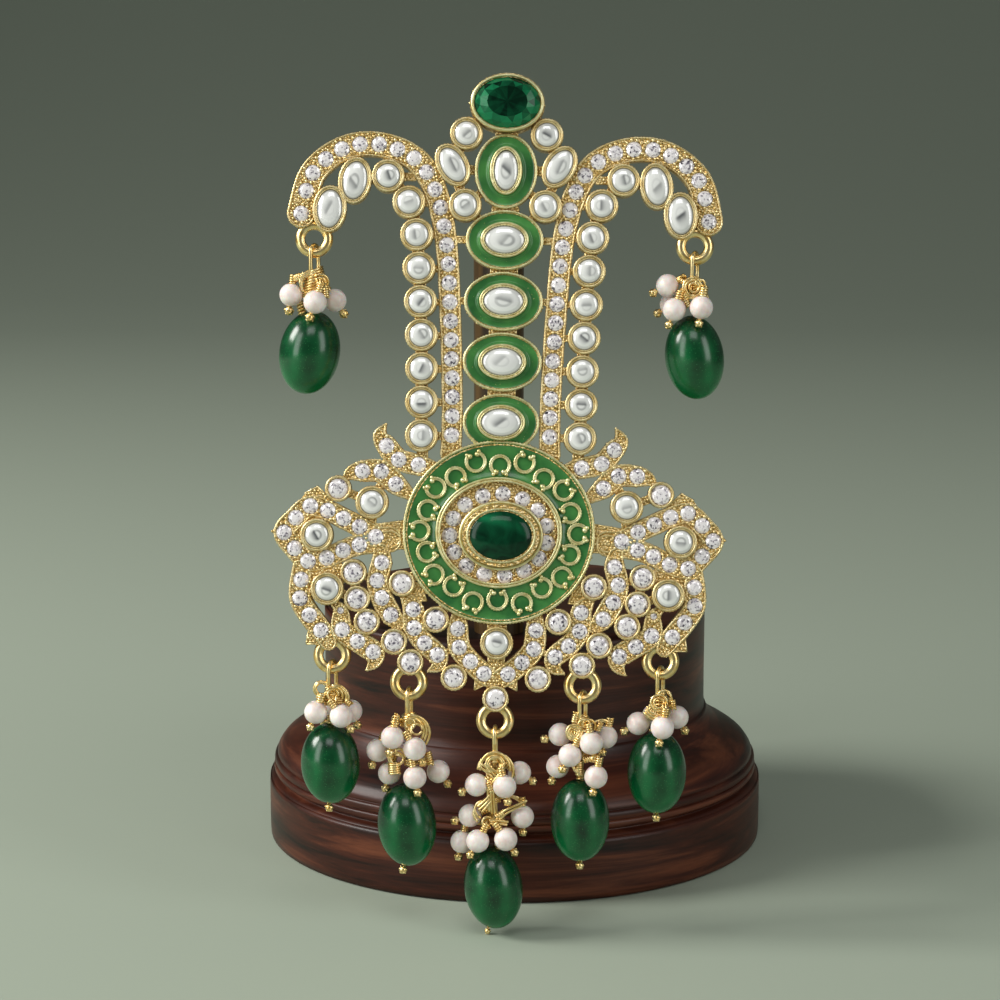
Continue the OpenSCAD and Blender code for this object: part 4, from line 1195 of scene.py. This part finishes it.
# Loose loops and arcs: x, y and z of the middle, radius, turn, tip, and the angles where it starts and ends
HOOPS = (
    (
        (1.1, -1.9, -4.7, 1.3, 10, 0, -80, 130), (1.1, -2.0, -4.8, 0.85, 10, 0, -60, 150),
        (1.0, -1.9, -4.9, 0.45, 10, 0, 0, 360), (-2.8, -1.5, -4.0, 0.5, 40, 0, 0, 360),
        (-2.5, -1.5, -3.9, 0.5, 40, 0, 0, 360), (-0.6, -1.9, -4.6, 1.7, 0, 10, 60, 200),
        (-0.5, -1.9, -4.9, 1.7, 0, 10, 70, 210), (-0.4, -1.9, -5.2, 1.7, 0, 10, 80, 220),
    ),
    (
        (-0.3, -2.0, -4.4, 1.75, 0, 5, 40, 330), (-0.3, -2.0, -4.4, 1.35, 0, 5, 0, 345),
        (-0.2, -2.0, -4.3, 0.8, 0, 5, 0, 360), (0.8, -1.8, -3.8, 0.8, 10, 0, -60, 200),
        (0.4, -1.8, -4.6, 1.5, 0, 10, -70, 20), (-1.9, -0.9, -3.5, 1.0, -10, 0, 70, 180),
    ),
    (
        (-1.7, -1.6, -3.0, 1.0, 0, 0, 0, 360), (-1.75, -1.4, -3.1, 1.25, 0, 0, 30, 250),
        (0.2, -2.0, -4.0, 0.9, 0, 5, 0, 330), (0.3, -2.0, -4.2, 1.5, 5, 5, -20, 140),
        (0.4, -2.0, -4.4, 2.0, 5, 5, -25, 100), (0.4, -1.9, -4.7, 2.4, 5, 5, -20, 80),
    ),
    (
        (0.2, -2.0, -4.3, 0.8, 0, 5, 0, 360), (1.3, -2.0, -5.2, 0.9, 0, 5, 0, 340),
        (-2.2, -1.4, -3.7, 0.6, -30, 0, 0, 300), (0.4, -1.9, -5.9, 3.1, 5, 0, -50, 100),
        (0.3, -1.8, -5.7, 2.7, 5, 0, -45, 95), (0.2, -1.9, -5.6, 2.3, 5, 0, -40, 110),
        (-2.0, -2.6, -10.1, 1.05, 0, 10, 0, 360), (-2.0, -2.4, -9.9, 1.4, 0, 10, 0, 250),
        (-1.6, -2.5, -9.0, 0.6, 0, 0, 0, 180),
    ),
    (
        (0, -2.0, -4.6, 1.15, 0, 5, 0, 360), (0, -2.0, -4.7, 1.5, 0, 5, -20, 240),
        (0, -1.9, -5.4, 2.5, 0, 5, -10, 185), (0.1, -1.8, -5.8, 3.0, 0, 5, -30, 175),
        (-1.9, -2.2, -12.4, 1.5, -10, 10, 60, 250), (-1.7, -2.3, -13.0, 1.9, -10, 10, 90, 230),
        (-1.2, -2.2, -14.6, 0.9, 0, 10, 60, 300),
    ),
    (
        (-1.4, -2.1, -5.1, 1.3, 0, 5, 0, 360), (-1.4, -2.1, -5.1, 0.9, 0, 5, 30, 380),
        (-1.4, -2.0, -5.2, 0.5, 0, 5, 0, 360), (0.2, -2.0, -3.9, 0.95, 0, 5, 0, 350),
        (1.0, -1.8, -4.1, 1.1, 10, 0, -40, 150), (-1.2, -1.4, -2.9, 0.45, 30, 0, 0, 360),
        (-0.7, -2.2, -10.6, 1.0, 0, 10, 90, 270), (-0.5, -2.3, -11.0, 1.0, 0, 10, 80, 280),
    ),
    (
        (-0.3, -2.1, -4.2, 1.35, 0, 5, 0, 360), (-0.3, -2.1, -4.25, 0.85, 0, 5, 20, 380),
        (0.6, -1.8, -3.3, 1.15, 10, 0, -50, 150), (0.3, -1.9, -3.9, 1.6, 10, 0, -40, 60),
        (-0.4, -2.0, -4.3, 1.95, 0, 5, 195, 330), (-0.4, -2.0, -4.4, 2.35, 0, 5, 205, 320),
        (-0.4, -1.9, -4.5, 2.7, 0, 5, 210, 300),
    ),
)
# Twisted ends: where each coil starts, its direction, turns and radius
TWISTS = (
    ((-3.1, -1.5, -4.2, 1, 0, 0.4, 4, 0.42), (1.9, -1.7, -5.4, 0.1, 0, -1, 5, 0.35)),
    (
        (-2.2, -1.9, -5.2, 0.5, 0, -1, 7, 0.45), (-2.6, -0.6, -3.2, 0.8, -0.2, -0.3, 4, 0.42),
        (1.5, -1.8, -5.0, 0.3, 0, -1, 3, 0.35),
    ),
    ((2.3, -1.8, -5.0, 0.7, 0, -0.6, 3, 0.4), (-2.4, -1.6, -4.1, 0.9, 0, -0.9, 4, 0.4)),
    (
        (-2.6, -1.6, -4.2, 0.5, 0, 1, 4, 0.4), (-2.5, -2.2, -10.9, 0.05, 0, -1, 5, 0.95),
        (3.1, -1.6, -9.2, 0.2, 0, -1, 6, 0.5),
    ),
    ((-1.1, -2.0, -7.6, 0.3, 0, -1, 5, 0.4), (0.2, -2.2, -13.6, 0.9, 0, 0.5, 4, 0.4)),
    (
        (-1.4, -1.6, -3.4, 0.2, 0, 1, 4, 0.4), (2.5, -1.5, -4.9, 0.4, 0, 1, 4, 0.35),
        (0.2, -2.4, -9.8, 1, 0, 0.25, 7, 0.42), (-0.6, -2.0, -10.2, 0, 0, -1, 6, 0.5),
    ),
    ((2.0, -1.7, -3.9, 0.15, 0, -1, 4, 0.35), (-1.9, -1.8, -5.2, 0.8, 0, -0.6, 5, 0.35)),
)
# Single strands of drop 3, point by point: x, y and z
STRANDS = (
    (
        (-2.9, -1.8, -5.5), (-2.2, -1.8, -4.0), (-1.2, -1.8, -2.9), (0, -1.8, -2.6), (1.2, -1.8, -3.0),
        (2.2, -1.6, -4.3), (2.9, -1.2, -5.9), (3.2, -0.8, -7.0),
    ),
    ((-2.6, -1.9, -5.0), (-0.9, -2.0, -6.4), (0.4, -2.0, -7.9)),
    ((-2.2, -1.9, -4.6), (-0.5, -2.1, -6.0), (0.8, -2.2, -7.3)),
    ((-1.7, -2.0, -4.5), (-0.1, -2.1, -5.7), (1.2, -2.2, -6.8)),
    ((1.5, -2.0, -4.4), (0.9, -2.2, -6.0), (-0.5, -2.1, -7.8), (-1.2, -1.9, -9.3)),
    ((-1.1, -1.9, -7.4), (-1.2, -2.0, -9.6), (-0.9, -2.0, -12.8)),
    ((-0.6, -1.9, -7.2), (-0.7, -2.1, -9.8), (-0.5, -2.0, -13.2)),
    ((-0.1, -1.9, -7.4), (-0.25, -2.1, -10.0), (0, -2.0, -13.4)),
    ((-0.9, -2.1, -9.9), (-1.9, -2.2, -11.0), (-2.9, -2.1, -11.9)),
    ((-0.8, -2.1, -10.5), (-1.7, -2.3, -11.5), (-2.7, -2.2, -12.4)),
    ((-0.7, -2.1, -11.0), (-1.5, -2.3, -12.0), (-2.2, -2.2, -12.8)),
    ((0.15, -2.2, -14.2), (1.5, -2.4, -12.6), (3.5, -2.4, -11.6), (5.3, -2.4, -10.8)),
    ((0.5, -2.2, -14.4), (1.8, -2.3, -13.1), (3.6, -2.2, -12.1), (4.5, -2.1, -11.7)),
    ((-0.9, -2.4, -14.2), (0.6, -2.6, -14.2), (2.2, -2.4, -14.5)),
    ((-0.6, -2.4, -14.8), (0.7, -2.6, -14.7), (2.0, -2.4, -15.0)),
)
# Wire of the twisted ends, and the angle that spreads grains evenly over a ball
TWIST_R = 0.19
GOLDEN_ANGLE = 2.39996


def hinge_place(name):
    """Where a drop's hinge is, in metres."""
    joint = next(j for j in frame["joints"] if j["child"] == "drop_" + name)
    return np.array(joint["pos_m"])


def pin_way(lean):
    """The direction down a pin that leans in the XZ plane by an angle in degrees."""
    a = math.radians(lean)
    return np.array([math.sin(a), 0, -math.cos(a)])


def leaned(points, way):
    """Leans points whose axis is Z, in the XZ plane, by as much as way leans but to the other side of Z."""
    x, y, z = points.T
    c, s = -way[2], way[0]
    return np.stack([x * c - z * s, y, -(x * s) - z * c], -1)


def drilled(radius, half, hole, depth, rings, around):
    """A ball or barrel turned from half an ellipse round its axis, with a drilled hole along that axis."""
    first = math.asin(hole / radius)
    a = np.linspace(first, math.pi - first, rings)
    side = np.stack([radius * np.sin(a), half * np.cos(a)], -1)
    side = np.concatenate([side, [[hole, -depth], [hole, depth]]])
    return turned(side, around), grid(len(side), around, True, True)[:, ::-1]


class ORNAMENT_OT_pearls(bpy.types.Operator):
    """Strings the pearls: smooth round pearls, drilled for their head pins"""

    bl_idname = "ornament.pearls"
    bl_label = "Pearls"

    def execute(self, context):
        points, faces = drilled(PEARL_R, PEARL_R, 0.33, 1.2, 14, 24)
        nacre = finish_of(pearl_nacre)
        for name, places in zip(DROPS, PEARLS):
            shell = Shell()
            for *spot, lean in places:
                at = hinge_place(name) + MM * np.array(spot)
                shell.add(at + MM * leaned(points, pin_way(lean)), faces)
            shell.finish("round_pearls_" + name, nacre, "drop_" + name, "pearl", ["pearls_" + name])
        return {"FINISHED"}


class ORNAMENT_OT_beads(bpy.types.Operator):
    """Turns the green beads: long rounded barrels, drilled through, with their painted light as an attribute
    """

    bl_idname = "ornament.beads"
    bl_label = "Green beads"

    def execute(self, context):
        glass = finish_of(bead_glass)
        for name, (x0, z0, half, lean, radius, _) in zip(DROPS, BEADS):
            points, faces = drilled(radius, half, 0.45, half * 0.8, 26, 40)
            points = leaned(points, pin_way(lean))
            x, z = points[:, 0] / radius, points[:, 2] / half
            # Painted light: two soft upright bands stand for highlights, and a glow low in the middle stands
            # for light gathered in the bead
            bands = np.exp(-(((np.abs(x) - 0.42) / 0.2) ** 2) - ((z + 0.05) / 0.55) ** 4)
            glow = 0.2 * bands + 0.6 * np.clip(0.1 - 0.8 * z, 0, 1) * (x**2 + z**2) + 0.03
            shell = Shell().add(hinge_place(name) + MM * (np.array([x0, 0, z0]) + points), faces)
            body, cad = "drop_" + name, "bead_" + name
            shell.finish("green_bead_" + name, glass, body, "green_bead", [cad], glow=glow)
        return {"FINISHED"}


def coil(start, way, turns, radius, wire, count=14):
    """A helix round the line from start along way: a circle that steps ahead by a wire's width each turn."""
    way = unit(np.asarray(way, float))
    side = unit(np.cross(way, [0.13, 0.95, 0.21]))
    over = np.cross(way, side)
    t = np.arange(int(turns * count) + 1) / count
    a = t[:, None] * 2 * math.pi
    return start + way * t[:, None] * wire * 2.05 + radius * (np.cos(a) * side + np.sin(a) * over)


def cone_wrap(z0, z1, r0, r1, turns, drift, slope, count=20):
    """Wire wound round a bundle of pins: a flattened helix that widens from r0 to r1 as it sinks to z1."""
    t = np.linspace(0, 1, int(turns * count) + 1)
    a = t * turns * 2 * math.pi
    across = (r0 + (r1 - r0) * t) * np.cos(a)
    return np.stack([across + drift * t, -0.3 - 1.4 * np.sin(a), z0 + (z1 - z0) * t + slope * across], -1)


def hoop(x, y, z, radius, yaw, pitch, first, last):
    """An arc of a circle round x, y, z, facing the viewer, turned and tipped by angles in degrees."""
    a, b = math.radians(yaw), math.radians(pitch)
    right = np.array([math.cos(a), math.sin(a), 0])
    axis = np.array([math.sin(a) * math.cos(b), -math.cos(a) * math.cos(b), math.sin(b)])
    t = np.radians(np.linspace(first, last, max(8, int(abs(last - first) / 15))))[:, None]
    return np.array([x, y, z]) + radius * (np.cos(t) * right + np.sin(t) * np.cross(axis, right))


def link_loop(turn):
    """A long link: two half circles joined by straight sides, hung from its upper bend and turned round Z."""
    a = np.linspace(0, math.pi, 13)
    across = 1.36 / math.cos(turn) * np.concatenate([np.cos(a), -np.cos(a)])
    high = np.concatenate([1.32 * np.sin(a), -3.2 - 1.32 * np.sin(a)])
    return np.stack([across * math.sin(turn), across * math.cos(turn), high], -1)


def grained_ball(shell, at, radius, count=15):
    """A pin's end: a ball hidden under a coat of smaller grains, at even turns of the golden angle."""
    k = np.arange(count)
    high = 1 - (2 * k + 1) / count
    a = k * GOLDEN_ANGLE
    level = np.sqrt(1 - high**2)
    skin = np.stack([level * np.cos(a), level * np.sin(a), high], -1) * 0.78 * radius
    sizes = np.array([0.92] + [0.26] * count) * radius
    grains(shell, at + np.concatenate([[[0, 0, 0]], skin]) * MM, sizes, 8, 6)


class ORNAMENT_OT_drop_wires(bpy.types.Operator):
    """Bends the drops' wires: links, pin loops, wrapped necks, loose arcs, head pins and grained ends"""

    bl_idname = "ornament.drop_wires"
    bl_label = "Drop wires"

    def execute(self, context):
        bright = gold("wire")
        strand = context.scene.ornament_drops.strand_r
        for name, link_turn, bead, pearls, wraps, hoops, twists in zip(
            DROPS, LINK_TURNS, BEADS, PEARLS, WRAPS, HOOPS, TWISTS
        ):
            hinge = hinge_place(name)
            turn = math.radians(link_turn)
            shell = Shell()
            aside = (math.cos(turn), -math.sin(turn), 0)
            tube(shell, hinge + MM * link_loop(turn), 0.35, 10, True, aside)
            shell.finish("jump_link_" + name, bright, "drop_" + name, "gold", ["link_" + name])

            # Two turns of the stem through the link, then the stem down to the bead, wrapped above it
            shell = Shell()
            x0, z0, half, lean, _, end = bead
            way = pin_way(lean)
            middle = np.array([x0, 0, z0])
            neck = middle - way * (half + 0.4)
            stem = smooth_path([[0, 0, -5.6], [0.12, 0.1, (neck[2] - 5.6) / 2], neck, neck + way * 0.6])
            through = np.array([neck, neck + way * (2 * half + 0.4 if end else 2)])
            wires = [(hoop(0.3 * k, 0, -4.9, 0.95, 60 * k, 0, 0, 345), strand, 6) for k in (-1, 1)]
            wires += [(stem, 0.3, 8), (through, 0.3, 8)]
            wires += [(coil(neck - way * 1.1, way, 3.5, 0.5, strand), strand, 6)]
            wires += [(cone_wrap(*wrap), strand * 0.84, 6) for wrap in wraps]
            wires += [(hoop(*arc), strand * 0.9, 6) for arc in hoops]
            wires += [(coil(twist[:3], twist[3:6], *twist[6:], TWIST_R), TWIST_R, 6) for twist in twists]
            wires += [(smooth_path(line), strand * 0.85, 6) for line in STRANDS if name == "3"]
            for path, radius, sides in wires:
                tube(shell, hinge + MM * path, radius, sides)
            if end:
                grained_ball(shell, hinge + MM * (middle + way * (half + 0.2 + end)), end * 1.1)

            # Each pearl's pin, with two strands that lead to it and a coil round its neck
            for x, y, z, pin_lean in pearls:
                spot = np.array([x, y, z])
                pin = pin_way(pin_lean)
                head = spot - pin * (PEARL_R + 0.3)
                start = np.array([0.2 * x, 0.2 * y, -4.4 if z > -11 else z + 3.2])
                lift = start * 0.45 + head * 0.55 + [0, 0, 0.7]
                for shift in (0.0, 0.5):
                    aside = np.array([shift, -0.2 * shift, 0.3 * shift]) * (1 if x > 0 else -1)
                    bend = [start + aside, lift + aside, head + aside * 0.5, spot - pin * PEARL_R * 0.7]
                    tube(shell, hinge + MM * smooth_path(bend), strand * 0.85)
                tube(shell, hinge + MM * coil(head + pin * 0.3, -pin, 3.5, 0.5, 0.2), 0.2)
                shank = np.array([spot - pin * PEARL_R, spot + pin * (PEARL_R + 0.3)])
                tube(shell, hinge + MM * shank, 0.24)
                tip = hinge + MM * (spot + pin * (PEARL_R + 0.75))
                grained_ball(shell, tip, 0.85 if name == "top_left" else 0.78)
            shell.finish("wrapped_wires_" + name, bright, "drop_" + name, "gold", ["wire_" + name])
        return {"FINISHED"}


# Side of the foot from its bottom to its top: radius and height
FOOT_SIDE = (
    (45.8, 0), (46.6, 0.3), (47, 1.2), (47, 10.4), (46.75, 11.2), (46.3, 11.65), (45.6, 11.9),
    (45.35, 12.1), (45.4, 12.3), (45.9, 12.55), (46.15, 12.95), (46.15, 13.5), (45.95, 13.8),
    (45.65, 13.95), (45.9, 14.1), (46.05, 14.5), (46.0, 15.1), (45.75, 15.45), (45.4, 15.6), (45.5, 15.8),
    (45.4, 16.4), (45.0, 17.1), (44.2, 18.1), (42.6, 19.2), (40.8, 20.2), (39.2, 21.2), (38.1, 22.2),
    (37.2, 23.4), (36.6, 24.7), (36.2, 26.6), (36.2, 43.2), (36.05, 44.1), (35.6, 44.7), (34.6, 45.0),
)
FOOT_TOP = 45.0


class ORNAMENT_OT_stand(bpy.types.Operator):
    """Turns the wooden stand: foot, shoulder, column and post"""

    bl_idname = "ornament.stand"
    bl_label = "Turned stand"

    def execute(self, context):
        props = context.scene.ornament_stand
        tones, along = (props.deep, props.mid, props.pale), (9.0, 30.0, 260.0)
        wood = finish_of(turned_wood, "Waxed_dark_hardwood", *tones, 0.06, along)
        side = np.concatenate([smooth_path(FOOT_SIDE, 3), [[20, FOOT_TOP]]])
        points = np.concatenate([turned(side, 160), [[0, 0, 0], [0, 0, FOOT_TOP]]])
        shell = Shell().add(points * MM, capped(len(side), 160))
        shell.finish("turned_foot", wood, ROOT, "turned_wood", ["stand_base"])
        tones, along = ("#2b1c0a", "#523a17", "#6d4f24"), (320.0, 320.0, 9.0)
        dress("stand_post", finish_of(turned_wood, "Oiled_brown_hardwood", *tones, 0.2, along))
        return {"FINISHED"}


def add_floor():
    """A floor that rises behind the stand in a quarter circle, and then straight up."""
    a = np.linspace(0, math.pi / 2, 25)
    run = np.stack([0.9 + 2.2 * np.sin(a), 2.2 - 2.2 * np.cos(a)], -1)
    run = np.concatenate([[[-1.8, 0]], run, [[3.1, 3.4]]])
    rows = [np.column_stack([np.full(len(run), x), run]) for x in (-2.4, 0.0, 2.4)]
    mesh = bpy.data.meshes.new("floor")
    mesh.from_pydata(np.stack(rows, 1).reshape(-1, 3).tolist(), [], grid(len(run), 3)[:, ::-1].tolist())
    mesh.polygons.foreach_set("use_smooth", [True] * len(mesh.polygons))
    mesh.materials.append(finish_of(floor_paint))
    floor = bpy.data.objects.new("floor", mesh)
    bpy.context.scene.collection.objects.link(floor)


def add_light(name, at, aim, width, height, power, colour):
    """A rectangular soft light that faces the place it is aimed at."""
    light = bpy.data.lights.new(name, "AREA")
    light.shape, light.size, light.size_y = "RECTANGLE", width, height
    light.energy, light.color = power, colour
    lamp = bpy.data.objects.new(name, light)
    lamp.location = at
    lamp.rotation_mode = "QUATERNION"
    lamp.rotation_quaternion = (Vector(aim) - Vector(at)).to_track_quat("-Z", "Y")
    bpy.context.scene.collection.objects.link(lamp)


class ORNAMENT_OT_stage(bpy.types.Operator):
    """Sets the floor, the lights and the camera"""

    bl_idname = "ornament.stage"
    bl_label = "Stage"

    def execute(self, context):
        scene, props = context.scene, context.scene.ornament_stage
        add_floor()
        key, strip, fill = props.key_power, props.strip_power, props.fill_power
        warm, mild, plain = (1.0, 0.98, 0.94), (1.0, 1.0, 0.98), (1.0, 1.0, 1.0)
        add_light("key_softbox", (-0.85, -0.12, 0.62), (0, -0.03, 0.06), 0.4, 0.4, key, warm)
        add_light("left_strip", (-0.76, -0.66, 0.42), (0, -0.06, 0.1), 0.36, 0.8, strip, mild)
        add_light("right_strip", (0.76, -0.66, 0.42), (0, -0.06, 0.1), 0.36, 0.8, 0.8 * strip, mild)
        add_light("front_softbox", (0.0, -0.85, 1.05), (0, -0.05, 0.07), 0.6, 0.4, fill, plain)
        scene.world = bpy.data.worlds.new("studio")
        scene.world.use_nodes = True
        feed(scene.world.node_tree.nodes["Background"], {"Color": (0.75, 0.8, 0.78, 1), "Strength": 0.12})
        camera = bpy.data.cameras.new("camera")
        camera.lens, camera.sensor_width = props.lens, 36.0
        camera.clip_start, camera.clip_end = 0.02, 20
        seat = bpy.data.objects.new("camera", camera)
        seat.location = props.eye
        seat.rotation_euler = (math.pi / 2 - props.look_down, 0, 0)
        scene.collection.objects.link(seat)
        scene.camera = seat
        scene.view_settings.view_transform = "Standard"
        return {"FINISHED"}


GROUPS = {
    "ornament_gold": OrnamentGold,
    "ornament_stones": OrnamentStones,
    "ornament_drops": OrnamentDrops,
    "ornament_stand": OrnamentStand,
    "ornament_stage": OrnamentStage,
}
STEPS = (
    ORNAMENT_OT_casting,
    ORNAMENT_OT_collars,
    ORNAMENT_OT_bezels,
    ORNAMENT_OT_eyes,
    ORNAMENT_OT_enamel,
    ORNAMENT_OT_brilliants,
    ORNAMENT_OT_foil_stones,
    ORNAMENT_OT_green_stones,
    ORNAMENT_OT_drop_wires,
    ORNAMENT_OT_pearls,
    ORNAMENT_OT_beads,
    ORNAMENT_OT_stand,
    ORNAMENT_OT_stage,
)


class ORNAMENT_PT_pieces(bpy.types.Panel):
    """Lists the ornament's pieces and their sizes"""

    bl_label = "Turban ornament"
    bl_idname = "ORNAMENT_PT_pieces"
    bl_space_type = "VIEW_3D"
    bl_region_type = "UI"
    bl_category = "Ornament"

    def draw(self, context):
        for step in STEPS:
            self.layout.operator(step.bl_idname)
        for name, group in GROUPS.items():
            box = self.layout.box()
            for key in group.__annotations__:
                box.prop(getattr(context.scene, name), key)


def register():
    """Adds the groups of sizes and colours, the operators and the panel."""
    for kind in (*GROUPS.values(), *STEPS, ORNAMENT_PT_pieces):
        bpy.utils.register_class(kind)
    for name, group in GROUPS.items():
        setattr(bpy.types.Scene, name, PointerProperty(type=group))


def unregister():
    """Takes them away again."""
    for name in GROUPS:
        delattr(bpy.types.Scene, name)
    for kind in (ORNAMENT_PT_pieces, *STEPS, *GROUPS.values()):
        bpy.utils.unregister_class(kind)


def main():
    """Makes every piece."""
    register()
    for step in STEPS:
        getattr(bpy.ops.ornament, step.bl_idname.split(".")[1])()


if __name__ == "__main__":
    main()
